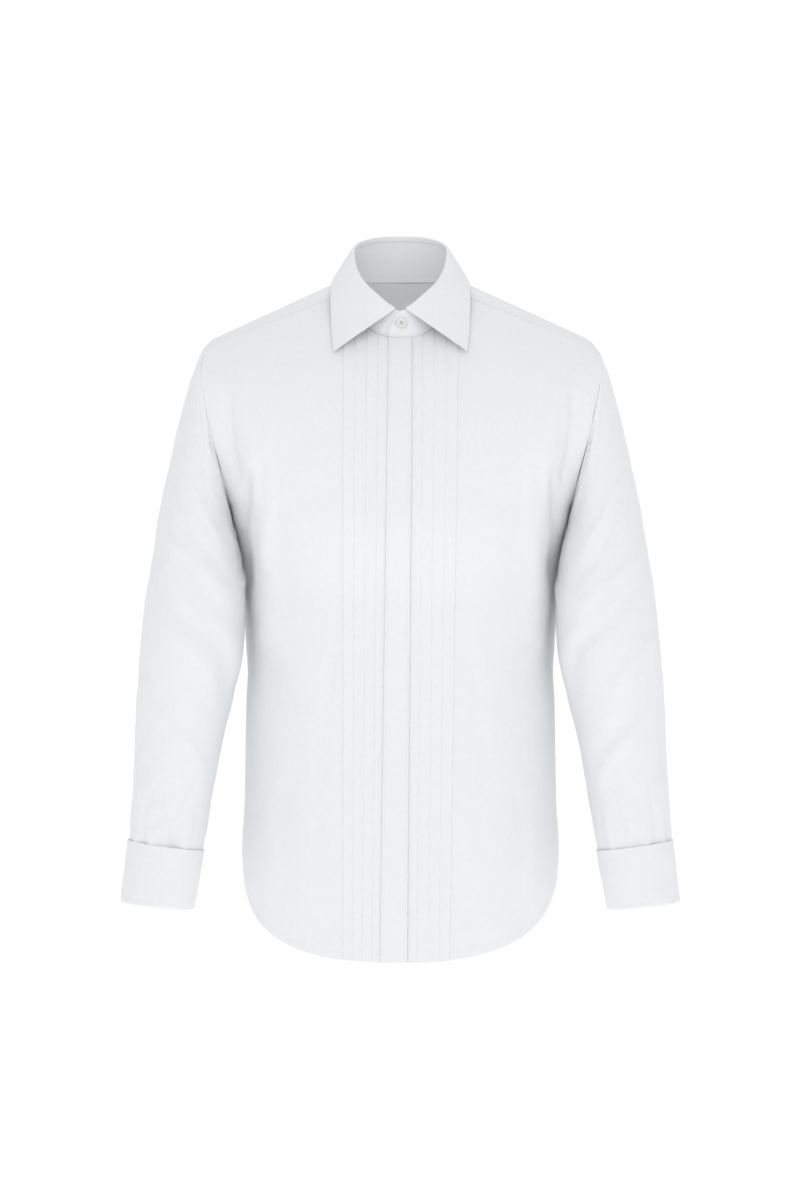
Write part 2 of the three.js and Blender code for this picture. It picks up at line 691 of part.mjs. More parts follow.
// A point of the roll line.
function rollPoint(angle) {
  const a = radians(angle);
  const depth = Math.cos(a) > 0 ? rollBack : rollFront;
  const height = readTable(rollHeights, "angle", Math.abs(angle)).z;
  return new THREE.Vector3(rollWidth * Math.sin(a), depth * Math.cos(a), height);
}

// The band stands just inside the neckline. Past the centre front the left end lies over the right.
function bandFoot(angle) {
  const { x, z } = neckline(Math.abs(angle) > 180 ? Math.sign(angle) * (360 - Math.abs(angle)) : angle);
  const side = Math.abs(angle) > 90 ? "front" : "back";
  const real = Math.abs(angle) > 180 ? -Math.abs(x) * Math.sign(angle) : x;
  const foot = bodyPoint(real, z, side);
  foot.x *= 0.975;
  foot.y *= 0.975;
  foot.z += 1.6;
  return foot;
}
const bandLap = (angle) => 0.9 * smooth((Math.abs(angle) - 150) / 22) * Math.sign(angle);
// the band reaches the roll line only past the front edges of the leaf
const bandGap = (angle) => rollGap * (1 - smooth((Math.abs(angle) - collarFrontAngle - 0.6) / 3));
function bandPoint(angle, v) {
  const foot = bandFoot(angle);
  const top = rollPoint(angle);
  const along = new THREE.Vector3().subVectors(top, foot);
  const full = along.length();
  const pastFront = smooth((Math.abs(angle) - 178) / (bandEndAngle - 178));
  const height = (full - bandGap(angle) - seamGap) * (1 - 0.5 * pastFront * pastFront);
  const point = foot.addScaledVector(along.normalize(), height * v);
  const out = new THREE.Vector3(point.x, point.y, 0).normalize();
  return point.addScaledVector(out, bandLap(angle));
}
const bandStations = [bandEndAngle, 187, 182, 176.7, 174, 168];
for (let angle = 158; angle > 0; angle -= 10) bandStations.push(angle);
const bandAngles = [...bandStations, 0, ...bandStations.map((angle) => -angle).reverse()];
const bandSteps = bandAngles.length - 1;
const bandGrid = grid(3, bandSteps, (v, u) => bandPoint(bandAngles[Math.round(u * bandSteps)], v));
add(
  "collar_band",
  wallGeometry(
    bandGrid,
    () => -0.6,
    () => 0.6,
  ),
  interlined,
);

// The leaf rises from the band, rolls over and falls to its outer edge.
function leafProfile(angle) {
  const sign = Math.sign(angle) || 1;
  const roll = rollPoint(angle);
  const foot = bandFoot(angle);
  const up = new THREE.Vector3().subVectors(roll, foot).normalize();
  const edgeRow = readTable(leafEdge, "angle", Math.abs(angle));
  const edge = new THREE.Vector3(edgeRow.x * sign, edgeRow.y, edgeRow.z);
  const out = new THREE.Vector3(roll.x, roll.y, 0).normalize();
  roll.addScaledVector(out, bandLap(angle) * (Math.abs(angle) > 150 ? 1 : 0));
  const start = roll.clone().addScaledVector(up, -rollGap);
  const over = roll.clone().addScaledVector(out, leafWidthAtRoll).addScaledVector(up, -1.2);
  const crest = roll.clone().addScaledVector(out, leafWidthAtRoll / 2).addScaledVector(up, 0.9);
  const bulge = 0.07;
  const fall = new THREE.Vector3().subVectors(edge, over);
  const belly = (t) => {
    const point = over.clone().addScaledVector(fall, t);
    return point.addScaledVector(out, bulge * fall.length() * 4 * t * (1 - t) * 0.5);
  };
  return [start, roll, crest, over, belly(0.25), belly(0.5), belly(0.75), edge];
}
const leafColumns = 36;
const leafGrid = (() => {
  const columns = Array.from({ length: leafColumns + 1 }, (_, j) => {
    const t = mix(1, -1, j / leafColumns);
    return leafProfile(collarFrontAngle * t);
  });
  return columns[0].map((_, i) => columns.map((column) => column[i]));
})();
add(
  "collar_leaf",
  wallGeometry(
    leafGrid,
    () => -0.6,
    () => 0.6,
  ),
  interlined,
);

// Collar button: a dished disc with four holes
function buttonGeometry() {
  const outline = new THREE.Shape().absarc(0, 0, button.radius, 0, 2 * Math.PI);
  for (let k = 0; k < 4; k += 1) {
    const a = Math.PI / 4 + (k * Math.PI) / 2;
    const hole = new THREE.Path();
    const x = button.holeSpacing * Math.cos(a);
    hole.absarc(x, button.holeSpacing * Math.sin(a), button.holeRadius, 0, 2 * Math.PI);
    outline.holes.push(hole);
  }
  const settings = { depth: button.thickness, bevelEnabled: false, curveSegments: 8 };
  return new THREE.ExtrudeGeometry(outline, settings);
}
const buttonSeat = bandPoint(180, 0.56);
const buttonMesh = new THREE.Mesh(buttonGeometry(), pearl);
buttonMesh.name = "collar_button";
const bandLean = new THREE.Vector3().subVectors(bandPoint(180, 1), bandPoint(180, 0));
buttonMesh.rotation.x = Math.PI / 2 - Math.atan2(bandLean.y, bandLean.z);
buttonMesh.position.set(1, buttonSeat.y - 1.1, buttonSeat.z);
shirt.add(buttonMesh);

export default shirt;
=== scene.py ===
import math
import bpy
import numpy as np
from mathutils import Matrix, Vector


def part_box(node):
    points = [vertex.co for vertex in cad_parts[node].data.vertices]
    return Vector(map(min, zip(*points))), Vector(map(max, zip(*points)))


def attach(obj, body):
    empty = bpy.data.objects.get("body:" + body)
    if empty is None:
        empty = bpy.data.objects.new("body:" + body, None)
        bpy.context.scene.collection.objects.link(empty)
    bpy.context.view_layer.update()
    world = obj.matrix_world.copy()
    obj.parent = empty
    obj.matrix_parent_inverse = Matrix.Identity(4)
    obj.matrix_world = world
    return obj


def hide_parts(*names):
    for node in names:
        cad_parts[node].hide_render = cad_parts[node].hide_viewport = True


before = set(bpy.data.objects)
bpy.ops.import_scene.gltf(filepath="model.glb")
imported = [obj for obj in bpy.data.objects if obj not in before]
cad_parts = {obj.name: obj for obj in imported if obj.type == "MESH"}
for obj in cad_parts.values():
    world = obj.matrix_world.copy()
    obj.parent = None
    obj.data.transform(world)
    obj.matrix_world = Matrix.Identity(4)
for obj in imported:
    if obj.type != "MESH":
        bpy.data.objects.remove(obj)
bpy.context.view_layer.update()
mm = 0.001

# camera, level with the middle of the shirt
camera = {"distance": 5.2, "height": -0.34875, "aside": -0.0005, "lens": 138.67}
cameraData = bpy.data.cameras.new("camera")
cameraData.lens = camera["lens"]
cameraData.sensor_width = 36
cameraObject = bpy.data.objects.new("camera", cameraData)
cameraObject.location = (camera["aside"], -camera["distance"], camera["height"])
cameraObject.rotation_euler = (math.radians(90), 0, 0)
bpy.context.collection.objects.link(cameraObject)
bpy.context.scene.camera = cameraObject
print("camera placed")


def mix(a, b, t):
    return a + (b - a) * t


def smooth(t):
    c = np.clip(t, 0, 1)
    return c * c * (3 - 2 * c)


def unit(way):
    return way / np.linalg.norm(way, axis=-1, keepdims=True)


# a smooth curve through rows of (at, value), with no overshoot
def curve(rows):
    at = np.array([row[0] for row in rows], float)
    value = np.array([row[1] for row in rows], float)
    step = np.diff(value) / np.diff(at)
    product, total = step[:-1] * step[1:], step[:-1] + step[1:]
    inner = np.where(product > 0, 2 * product / np.where(product > 0, total, 1), 0)
    slope = np.concatenate([step[:1], inner, step[-1:]])

    def read(where):
        x = np.clip(where, at[0], at[-1])
        i = np.clip(np.searchsorted(at, x, side="right") - 1, 0, len(at) - 2)
        width = at[i + 1] - at[i]
        t = (x - at[i]) / width
        rise = 2 * t**3 - 3 * t**2
        return (
            (rise + 1) * value[i] - rise * value[i + 1]
            + (t**3 - 2 * t**2 + t) * width * slope[i]
            + (t**3 - t**2) * width * slope[i + 1]
        )

    return read


# body sizes in millimetres, the same form as the solids
body = {
    "power": 2.25, "neckHalf": 66, "neckRise": 1.5, "neckDrop": 70.1, "neckCorner": 64.8,
    "shoulderInner": 10.5, "shoulderEnd": 218, "slope": 0.459, "innerRise": 1.11,
    "yokeAtNeck": 16.5, "yokeAtArm": 7, "backSeam": -98, "seamGap": 0.3, "waistHalf": 173,
    "armTop": -56.5, "armBottom": -245, "armDepth": 64,
    "hemFront": -749, "hemBack": -757, "hemRise": 91.5, "hemPower": 2.4,
    "seamBack": 20, "seamBackFrom": -245, "seamBackUntil": -355,
    "half": [(-790, 169), (-700, 173), (-665, 176), (-630, 178.5), (-575, 175.5), (-519, 174.5),
             (-463, 173.5), (-430, 172), (-405, 173.5), (-350, 176.8), (-310, 179.4), (-280, 183.6),
             (-262, 187.4), (-245, 191), (-207, 199.5), (-174, 208), (-129, 217.5), (-97, 223),
             (-75, 219.5), (-56.5, 212)],
    "front": [(-790, 119), (-620, 122), (-520, 122), (-420, 124), (-320, 127), (-250, 123), (-200, 120),
              (-150, 112), (-100, 95), (-64, 72), (-39, 51), (-16, 30), (5, 16), (12, 12), (80, 4)],
    "back": [(-790, 102), (-620, 100), (-520, 93), (-420, 88), (-320, 98), (-250, 115), (-200, 118),
             (-150, 117), (-100, 110), (-64, 101), (-39, 92), (-16, 80), (5, 66), (12, 62), (80, 20)],
}
# folds of the body, as lines from (x, z) to (x, z) with half width and height, the same on both sides
bodyFolds = {
    "front": [
        (180, -112, 163, -205, 9, 3.5), (163, -205, 152, -400, 10, 3.5), (196, -128, 184, -215, 9, -4.5),
        (172, -290, 168, -420, 13, -4),
    ],
    "back": [
        (182, -118, 160, -330, 13, 4), (198, -135, 176, -330, 10, -4), (105, -330, 120, -560, 16, 3.5),
        (70, -360, 82, -620, 18, -3),
    ],
}
# smaller creases, drawn one by one: side of the wearer (1 left, -1 right, 0 both), then as above
bodyCreases = {
    "gain": {"front": 1.15, "back": 1.9},
    "front": [
        (1, 176, -98, 150, -190, 5, 1.4), (-1, 182, -104, 146, -170, 4.5, 1.3),
        (1, 192, -118, 168, -262, 5, -1.7), (-1, 190, -125, 172, -240, 5.5, -1.9),
        (1, 150, -210, 132, -330, 8, 1.1), (-1, 148, -232, 138, -380, 9, 1.3),
        (1, 139, -225, 121, -300, 6, -0.9), (-1, 133, -250, 126, -345, 7, -0.8),
        (1, 160, -330, 118, -402, 9, 1.1), (-1, 158, -352, 112, -440, 10, 1.2),
        (1, 158, -368, 126, -430, 7, -1.1), (-1, 160, -392, 122, -462, 8, -1.0),
        (0, 74, -400, 73, -735, 9, -1.7), (0, 101, -430, 97, -700, 17, 1.6),
        (1, 128, -560, 134, -712, 10, -1.2), (-1, 122, -540, 128, -690, 12, -1.1),
        (1, 148, -600, 150, -700, 8, 1.2), (-1, 150, -575, 148, -690, 9, 1.1),
        (1, 167, -206, 172, -322, 7, -4.2), (-1, 168, -212, 174, -330, 8, -4.6),
        (1, 152, -140, 149, -318, 6, 1.6), (-1, 154, -134, 150, -300, 6, 1.8),
        (1, 84, -130, 96, -60, 9, 0.7), (-1, 80, -150, 98, -66, 10, 0.8),
    ],
    "back": [
        (1, 172, -140, 146, -236, 5, 1.5), (-1, 176, -132, 150, -250, 5.5, 1.4),
        (1, 186, -168, 164, -300, 5, -1.8), (-1, 188, -160, 166, -280, 5, -1.6),
        (1, 40, -116, 34, -300, 12, 1.0), (-1, 46, -112, 52, -330, 13, 1.2),
        (1, 96, -118, 84, -290, 10, -1.1), (-1, 90, -124, 98, -270, 9, -1.0),
        (1, 150, -340, 84, -420, 9, 1.5), (-1, 152, -352, 72, -446, 10, 1.6),
        (1, 148, -388, 98, -462, 8, -1.3), (-1, 150, -402, 92, -492, 9, -1.2),
        (1, 20, -430, 30, -700, 15, 1.2), (-1, 24, -470, 18, -720, 14, -1.1),
        (1, 132, -520, 140, -690, 10, 1.3), (-1, 130, -540, 136, -700, 11, 1.2),
    ],
}
sectionPower = body["power"]
halfWidth, frontDepth, backDepth = curve(body["half"]), curve(body["front"]), curve(body["back"])
armMiddle = (body["armTop"] + body["armBottom"]) / 2
armHalf = (body["armTop"] - body["armBottom"]) / 2


def ridgeHeight(x):
    out = np.abs(x) - body["neckHalf"]
    return body["shoulderInner"] - out * np.where(out > 0, body["slope"], body["innerRise"])


def edgeWidth(z):
    below = body["shoulderInner"] - z
    ridge = body["neckHalf"] + below / np.where(below > 0, body["slope"], body["innerRise"])
    return np.where(z > body["armTop"], ridge, halfWidth(z))


def armholeDepth(z):
    t = (z - armMiddle) / armHalf
    return body["armDepth"] * np.sqrt(np.clip(1 - t * t, 0, 1))


# height of straight folds at a place: a bell across each line, dying away at its ends
def foldHeight(folds, x, z, fade=0.3):
    lift = np.zeros(np.broadcast(x, z).shape)
    for x0, z0, x1, z1, width, height in folds:
        dx, dz = x1 - x0, z1 - z0
        length = math.hypot(dx, dz)
        along = ((x - x0) * dx + (z - z0) * dz) / length**2
        across = ((x - x0) * dz - (z - z0) * dx) / length
        bow = 0.05 * length * np.sin(np.pi * np.clip(along, 0, 1))  # the line bends a little
        ends = smooth(along / fade + 0.6) * smooth((1 - along) / fade + 0.6)
        taper = width * (0.75 + 0.5 * np.clip(along, 0, 1))
        lift += height * ends * np.exp(-(((across - bow * np.sign(height)) / taper) ** 2))
    return lift


# soft unevenness of worn cloth, from a few crossing waves
def softWaves(a, b, seed, size=60.0):
    rough = np.random.default_rng(seed)
    total = np.zeros(np.broadcast(a, b).shape)
    for _ in range(9):
        turn, phase, stretch = rough.uniform(0, np.pi), rough.uniform(0, 2 * np.pi), rough.uniform(0.5, 1.6)
        total += np.sin((a * np.cos(turn) + b * np.sin(turn)) / (size * stretch / 6.3) + phase)
    return total / 3


# points of the body's surface, with its folds
def bodySurface(x, z, side, creased=True):
    depth = (frontDepth if side == "front" else backDepth)(z)
    edge = np.minimum(armholeDepth(z), depth * 0.98)
    reach = edgeWidth(z) / (1 - (edge / depth) ** sectionPower) ** (1 / sectionPower)
    share = np.minimum(1, np.abs(x) / reach)
    y = depth * (1 - share**sectionPower) ** (1 / sectionPower)
    sign = -1 if side == "front" else 1
    dx, dy = x * 0.6, sign * y
    size = np.maximum(np.hypot(dx, dy), 1e-6)
    lift = foldHeight(bodyFolds[side], np.abs(x), z) * smooth(y / 40)
    if creased:
        gain = bodyCreases["gain"][side]
        for hand in (1, -1):
            folds = [(*f[1:6], f[6] * gain) for f in bodyCreases[side] if f[0] in (hand, 0)]
            lift = lift + foldHeight(folds, x * hand, z) * smooth(y / 30) * (x * hand > 0)
        calm = smooth((np.abs(x) - 60) / 50) if side == "front" else 1
        lift = lift + 0.35 * calm * softWaves(x, z, 5 if side == "front" else 6) * smooth(y / 40)
    back = body["seamBack"] * smooth(
        (body["seamBackFrom"] - z) / (body["seamBackFrom"] - body["seamBackUntil"]))
    return np.stack([x + dx / size * lift, sign * y + back + dy / size * lift, z + 0 * x], -1)


# cloth: a plain weave, a soft mottle and slight crumples
cloth = {
    "poplin": {"light": (0.775, 0.787, 0.802), "dark": (0.758, 0.771, 0.788), "rough": 0.86, "thread": 0.42,
               "bump": 0.22, "sheen": 0.18},
    "stiffened": {"light": (0.780, 0.790, 0.803), "dark": (0.765, 0.776, 0.790), "rough": 0.8,
                  "thread": 0.38, "bump": 0.16, "sheen": 0.14},
}
# thread, the button's shell and the shade down in its holes: two tones in a fine noise
trim = {
    "thread": {"light": (0.73, 0.742, 0.758), "dark": (0.6789, 0.69006, 0.70494), "rough": 0.7,
               "coat": 0, "grain": 900, "swirl": 0},
    "shell": {"light": (0.80, 0.795, 0.775), "dark": (0.68, 0.67, 0.645), "rough": 0.22,
              "coat": 0.4, "grain": 260, "swirl": 1.5},
    # painted shade for the button's holes: one flat dark tone
    "holeShade": {"light": (0.2, 0.195, 0.185), "dark": (0.2, 0.195, 0.185), "rough": 0.8,
                  "coat": 0, "grain": 260, "swirl": 0},
}
materials = {}


def setInputs(node, values):
    for name, value in values.items():
        node.inputs[name].default_value = value
    return node


def newMaterial(name, values):
    materials[name] = bpy.data.materials.new(name)
    materials[name].use_nodes = True
    tree = materials[name].node_tree
    return tree.nodes, tree.links, setInputs(tree.nodes["Principled BSDF"], values)


def toneRamp(nodes, look, low=0, high=1):
    tone = nodes.new("ShaderNodeValToRGB")
    for point, at, colour in zip(tone.color_ramp.elements, (low, high), (look["dark"], look["light"])):
        point.position = at
        point.color = (*colour, 1)
    return tone


def clothMaterial(name, look):
    nodes, links, shader = newMaterial(name, {
        "Roughness": look["rough"], "Sheen Weight": look["sheen"], "Sheen Roughness": 0.5,
        "Specular IOR Level": 0.25})
    place = nodes.new("ShaderNodeTexCoord")
    weave = nodes.new("ShaderNodeMath")
    weave.operation = "ADD"
    for k, axis in enumerate(("X", "Z")):
        wave = setInputs(nodes.new("ShaderNodeTexWave"), {
            "Scale": 1 / (look["thread"] * mm * 6.3), "Distortion": 1.2, "Detail": 2, "Detail Scale": 0.6})
        wave.bands_direction = axis
        links.new(place.outputs["Object"], wave.inputs["Vector"])
        links.new(wave.outputs["Fac"], weave.inputs[k])
    crumple = setInputs(nodes.new("ShaderNodeTexNoise"), {"Scale": 38, "Detail": 5, "Roughness": 0.55})
    mottle = setInputs(nodes.new("ShaderNodeTexNoise"), {"Scale": 210, "Detail": 4})
    tone = toneRamp(nodes, look, 0.35, 0.65)
    soft = setInputs(nodes.new("ShaderNodeBump"), {"Strength": 0.2, "Distance": 1.2 * mm})
    fine = setInputs(nodes.new("ShaderNodeBump"), {"Strength": look["bump"], "Distance": 0.15 * mm})
    for start, outName, end, inName in (
            (place, "Object", crumple, "Vector"), (place, "Object", mottle, "Vector"),
            (mottle, "Fac", tone, "Fac"), (tone, "Color", shader, "Base Color"),
            (crumple, "Fac", soft, "Height"), (weave, "Value", fine, "Height"),
            (soft, "Normal", fine, "Normal"), (fine, "Normal", shader, "Normal")):
        links.new(start.outputs[outName], end.inputs[inName])


def trimMaterial(name, look):
    nodes, links, shader = newMaterial(name, {"Roughness": look["rough"], "Coat Weight": look["coat"]})
    noise = setInputs(nodes.new("ShaderNodeTexNoise"), {"Scale": look["grain"], "Distortion": look["swirl"]})
    tone = toneRamp(nodes, look)
    links.new(noise.outputs["Fac"], tone.inputs["Fac"])
    links.new(tone.outputs["Color"], shader.inputs["Base Color"])


for name, look in cloth.items():
    clothMaterial(name, look)
for name, look in trim.items():
    trimMaterial(name, look)
print("materials made")


def gridNormals(points, around):
    if around:
        across = np.roll(points, -1, 1) - np.roll(points, 1, 1)
    else:
        across = np.gradient(points, axis=1)
    normal = np.cross(across, np.gradient(points, axis=0))
    return normal / np.maximum(np.linalg.norm(normal, axis=-1, keepdims=True), 1e-9)


def makeObject(name, corners, faces, material, smoothShade=True, sharp=55):
    mesh = bpy.data.meshes.new(name)
    mesh.from_pydata((np.asarray(corners) * mm).tolist(), [], [[int(i) for i in face] for face in faces])
    mesh.polygons.foreach_set("use_smooth", [smoothShade] * len(mesh.polygons))
    if smoothShade:
        mesh.set_sharp_from_angle(angle=math.radians(sharp))
    mesh.materials.append(materials[material])
    made = bpy.data.objects.new(name, mesh)
    bpy.context.collection.objects.link(made)
    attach(made, "root")
    return made


# a closed wall on a grid of points, its two faces lying near and far out from it
def wall(name, points, near, far, material="poplin", around=False, sharp=55):
    normals = gridNormals(points, around)
    rows, columns = points.shape[:2]
    near, far = np.broadcast_to(near, (rows, columns)), np.broadcast_to(far, (rows, columns))
    inside = points + normals * near[..., None]
    outside = points + normals * far[..., None]
    corners = np.concatenate([inside.reshape(-1, 3), outside.reshape(-1, 3)])
    index = np.arange(rows * columns).reshape(rows, columns)
    if around:
        index = np.concatenate([index, index[:, :1]], 1)
    up = rows * columns
    a, b, c, d = index[:-1, :-1], index[:-1, 1:], index[1:, 1:], index[1:, :-1]
    faces = [np.stack([a, d, c, b], -1).reshape(-1, 4), np.stack([a, b, c, d], -1).reshape(-1, 4) + up]
    edges = [index[0], index[-1][::-1]]
    if not around:
        edges += [index[:, 0][::-1], index[:, -1]]
    faces += [np.stack([edge[:-1], edge[1:], edge[1:] + up, edge[:-1] + up], -1) for edge in edges]
    return makeObject(name, corners, np.concatenate(faces), material, sharp=sharp)


# small raised stitches along lines of points, each a long bead, sunk a little into the cloth
sunk = 0.05


def stitchRow(name, lines, length=2.1, gap=0.9, thick=0.42, rise=0.1):
    corners, faces = [], []
    shape = np.array([[-0.5, 0, 0], [0.5, 0, 0], [0, -0.5, 0], [0, 0.5, 0], [0, 0, 0.5], [0, 0, -0.5]])
    sides = np.array([[0, 2, 4], [2, 1, 4], [1, 3, 4], [3, 0, 4],
                      [2, 0, 5], [1, 2, 5], [3, 1, 5], [0, 3, 5]])
    for points, normals in lines:
        run = np.concatenate([[0], np.cumsum(np.linalg.norm(np.diff(points, axis=0), axis=1))])
        count = int(run[-1] / (length + gap))
        if count < 1:
            continue
        middle = (np.arange(count) + 0.5) * (length + gap)
        ends = [np.stack([np.interp(middle + s * length / 2, run, points[:, k]) for k in range(3)], -1)
                for s in (-1, 1)]
        out = unit(np.stack([np.interp(middle, run, normals[:, k]) for k in range(3)], -1))
        along = ends[1] - ends[0]
        aside = np.cross(out, along)
        aside /= np.maximum(np.linalg.norm(aside, axis=1, keepdims=True), 1e-9)
        centre = (ends[0] + ends[1]) / 2 + out * rise
        made = (centre[:, None] + shape[None, :, :1] * along[:, None]
                + shape[None, :, 1:2] * aside[:, None] * thick + shape[None, :, 2:] * out[:, None] * thick)
        start = sum(len(c) for c in corners)
        corners.append(made.reshape(-1, 3))
        faces.append((sides[None] + start + 6 * np.arange(count)[:, None, None]).reshape(-1, 3))
    makeObject(name, np.concatenate(corners), np.concatenate(faces), "thread", sharp=80)


def lineOn(points, normals, out):
    return points + normals * out, normals


# a line across some columns of a grid, at a fractional row in each of them
def lineAcross(points, normals, columns, places, out):
    low = places.astype(int)
    line = mix(points[low, columns], points[low + 1, columns], (places - low)[:, None])
    return lineOn(line, normals[low, columns], out)


# fly, bib and panels; halfGirth, chest and length are rough sizes for the seams' valleys and the hem
fly = {"top": -60, "shift": -7.5, "halfTop": 13, "halfHem": 15, "lap": 1.8}
bib = {"pleats": 4, "right": (63, 63), "left": (64, 54), "gap": 0.6, "tuck": 2.2,
       "clear": 0.55, "cloth": 0.75, "drop": 0.85}
panel = {"thick": 0.9, "hemBand": 9, "hemThick": 0.55, "hemSoft": 1.5, "valley": 0.4, "valleyWidth": 2.6,
         "halfGirth": 215, "chest": 190, "length": 470}


def flyShift(z):
    return fly["shift"] * np.clip((fly["top"] - z) / (fly["top"] - body["hemFront"]), 0, 1)


def flyHalf(z):
    return mix(fly["halfTop"], fly["halfHem"], flyShift(z) / fly["shift"])


def hemHeight(share, side):
    lowest = body["hemFront" if side == "front" else "hemBack"]
    return lowest + body["hemRise"] * np.abs(share) ** body["hemPower"]


def frontSeam(x):
    share = np.clip((np.abs(x) - body["neckCorner"]) / (body["shoulderEnd"] - body["neckCorner"]), 0, 1)
    over = mix(math.sqrt(body["yokeAtNeck"]), math.sqrt(body["yokeAtArm"]), share)
    return ridgeHeight(x) - over * over


def frontTop(x):
    share = np.minimum(np.abs(x) / body["neckHalf"], 1)
    neck = body["shoulderInner"] - body["neckDrop"] * np.sqrt(1 - share * share)
    seam = frontSeam(x) - body["seamGap"]
    return np.where(np.abs(x) < body["neckCorner"], np.minimum(neck, seam), seam)


yokeSeamEnd = body["armTop"] - body["yokeAtArm"]
for _ in range(12):
    yokeSeamEnd = float(frontTop(edgeWidth(yokeSeamEnd)))
yokeSeamWidth = float(edgeWidth(yokeSeamEnd))


def seamPlace(share, width):
    start = np.arcsin(body["neckCorner"] / width)
    return width * np.sin(mix(start, np.pi / 2, share))


# a line down the bib; the bib itself is tucked a little under the placket
def bibEdge(sign, share, tuck=0):
    top, low = bib["left" if sign > 0 else "right"]

    def spot(z):
        outer = mix(top, low, flyShift(z) / fly["shift"]) - sign * flyShift(z)
        return mix(flyHalf(z) + bib["gap"] - tuck, outer, share)

    return spot


# one column of a front panel; a spot is a distance from the fly's middle, a turn a share of the way
# from the neck's corner to the side seam
def frontColumn(sign, spot=None, turn=None):
    slant = 1 - body["neckCorner"] / body["waistHalf"]
    if spot:
        top = frontTop(spot(np.float64(fly["top"])))
        hemX = sign * flyShift(np.float64(body["hemFront"])) + spot(np.float64(body["hemFront"]))
        angle = np.arcsin(abs(hemX) / body["waistHalf"])
    else:
        top = yokeSeamEnd if turn >= 1 else frontTop(
            seamPlace(turn, yokeSeamWidth) + flyShift(fly["top"]) * sign * slant * (1 - turn))
        angle = mix(np.arcsin(body["neckCorner"] / body["waistHalf"]), np.pi / 2, turn)
    low = hemHeight(angle / (np.pi / 2), "front")
    z = np.where(steps < 0, mix(body["armBottom"], low, -steps), mix(body["armBottom"], top, steps))
    if spot:
        x = sign * flyShift(z) + spot(z)
    else:
        edge = np.where(steps < 0, z, mix(body["armBottom"], yokeSeamEnd, steps))
        x = seamPlace(turn, edgeWidth(edge)) + flyShift(z) * sign * slant * (1 - turn)
    return sign * x, z


def frontPanel(sign, columns):
    places = [frontColumn(sign, **column) for column in columns]
    x, z = np.stack([place[0] for place in places], 1), np.stack([place[1] for place in places], 1)
    return bodySurface(x, z, "front")


# rows from the hem at -1 to the underarm at 0 and the top edge at 1, close together at both ends
def rowSteps(bodyRows, chestRows):
    low = -np.linspace(1, 0, bodyRows + 1)
    chest = np.linspace(0, 1, chestRows + 1)
    chest = 0.6 * chest + 0.4 * (1 - np.cos(np.pi * chest)) / 2
    near = np.array([0.004, 0.011, 0.021])
    return np.unique(np.concatenate([low, -1 + near * 0.7, chest, 1 - near]))


steps = rowSteps(120, 48)
turns = np.unique(np.concatenate([np.linspace(0, 1, 46), 1 - np.array([0.004, 0.011, 0.02])]))


# lowers the cloth beside a seam, so that the seam reads as a line
def seamValley(across):
    width = panel["valleyWidth"]
    side = np.exp(-(((1 - across) * panel["halfGirth"] / width) ** 2))[None]
    top = np.exp(-(((1 - steps) * panel["chest"] / width) ** 2))[:, None] * (steps > 0)[:, None]
    return -panel["valley"] * np.maximum(side, top)


# thickness added inside by the turned hem
def hemBand():
    drop = (steps + 1) * panel["length"]
    return panel["hemThick"] * (1 - smooth((drop - panel["hemBand"]) / panel["hemSoft"]))[:, None]


# area of the cut pieces in square metres, taken as half the wall's surface, without seam allowances
areas = {}


def declare(piece, node):
    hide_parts(node)
    areas[piece.name] = sum(p.area for p in piece.data.polygons) / 2


def distances(*values):
    return [{"spot": lambda z, value=value: value + 0 * z} for value in values]


def makeFronts():
    made = {}
    right = distances(-9, -5, -1, 3, 7, 11)
    left = [{"spot": lambda z: 0.5 - flyHalf(z)}] + distances(-8, -4, 0, 4, 8, 10, 12)
    for sign, side, stations in ((-1, "right", right), (1, "left", left)):
        columns = stations + [{"spot": bibEdge(sign, share)} for share in np.linspace(0, 1, 17)]
        columns += [{"turn": turn} for turn in turns]
        points = frontPanel(sign, columns)
        across = np.concatenate([np.zeros(len(columns) - len(turns)), turns])
        lap = np.zeros(len(columns))
        if sign > 0:
            lap[:len(stations)] = fly["lap"] * np.array([1, 1, 1, 1, 1, 1, 0.7, 0.3])
        relief = seamValley(across) + lap[None]
        inner = relief - panel["thick"] / 2 - hemBand()
        outer = relief + panel["thick"] / 2
        if sign < 0:
            points, inner, outer = points[:, ::-1], inner[:, ::-1], outer[:, ::-1]
        piece = wall(side + "FrontPanel", points, inner, outer)
        declare(piece, "front_" + side)
        made[side] = points
    return made


frontPoints = makeFronts()
print("fronts made")

# fly placket, a folded strip with a row of stitching inside each edge
placket = {"lift": 1.95, "thick": 0.8, "edge": 0.3, "dip": 0.18, "ripple": 0.12, "stitchIn": 0.16}


def makePlacket():
    shares = np.array([-0.99, -0.97, -0.9, -0.82, -0.6, -0.35, -0.1,
                       0.15, 0.4, 0.65, 0.82, 0.9, 0.97, 0.99])
    points = frontPanel(1, [{"spot": lambda z, s=share: s * flyHalf(z)} for share in shares])
    crown = placket["thick"] - placket["edge"] * (np.abs(shares) > 0.98)
    crown = crown - placket["dip"] * (np.abs(np.abs(shares) - 0.82) < 0.01)  # along the stitches
    ripple = placket["ripple"] * softWaves(shares[None] * 13, points[:, :1, 2], 11, 45)
    far = placket["lift"] + crown + ripple
    piece = wall("flyPlacket", points, placket["lift"] - placket["thick"] * 0.3, far)
    declare(piece, "fly_placket")
    normals = gridNormals(points, False)
    out = placket["lift"] + placket["thick"] - placket["stitchIn"]
    stitchRow("placketStitching", [lineOn(points[4:, k], normals[4:, k], out) for k in (3, 10)])


makePlacket()


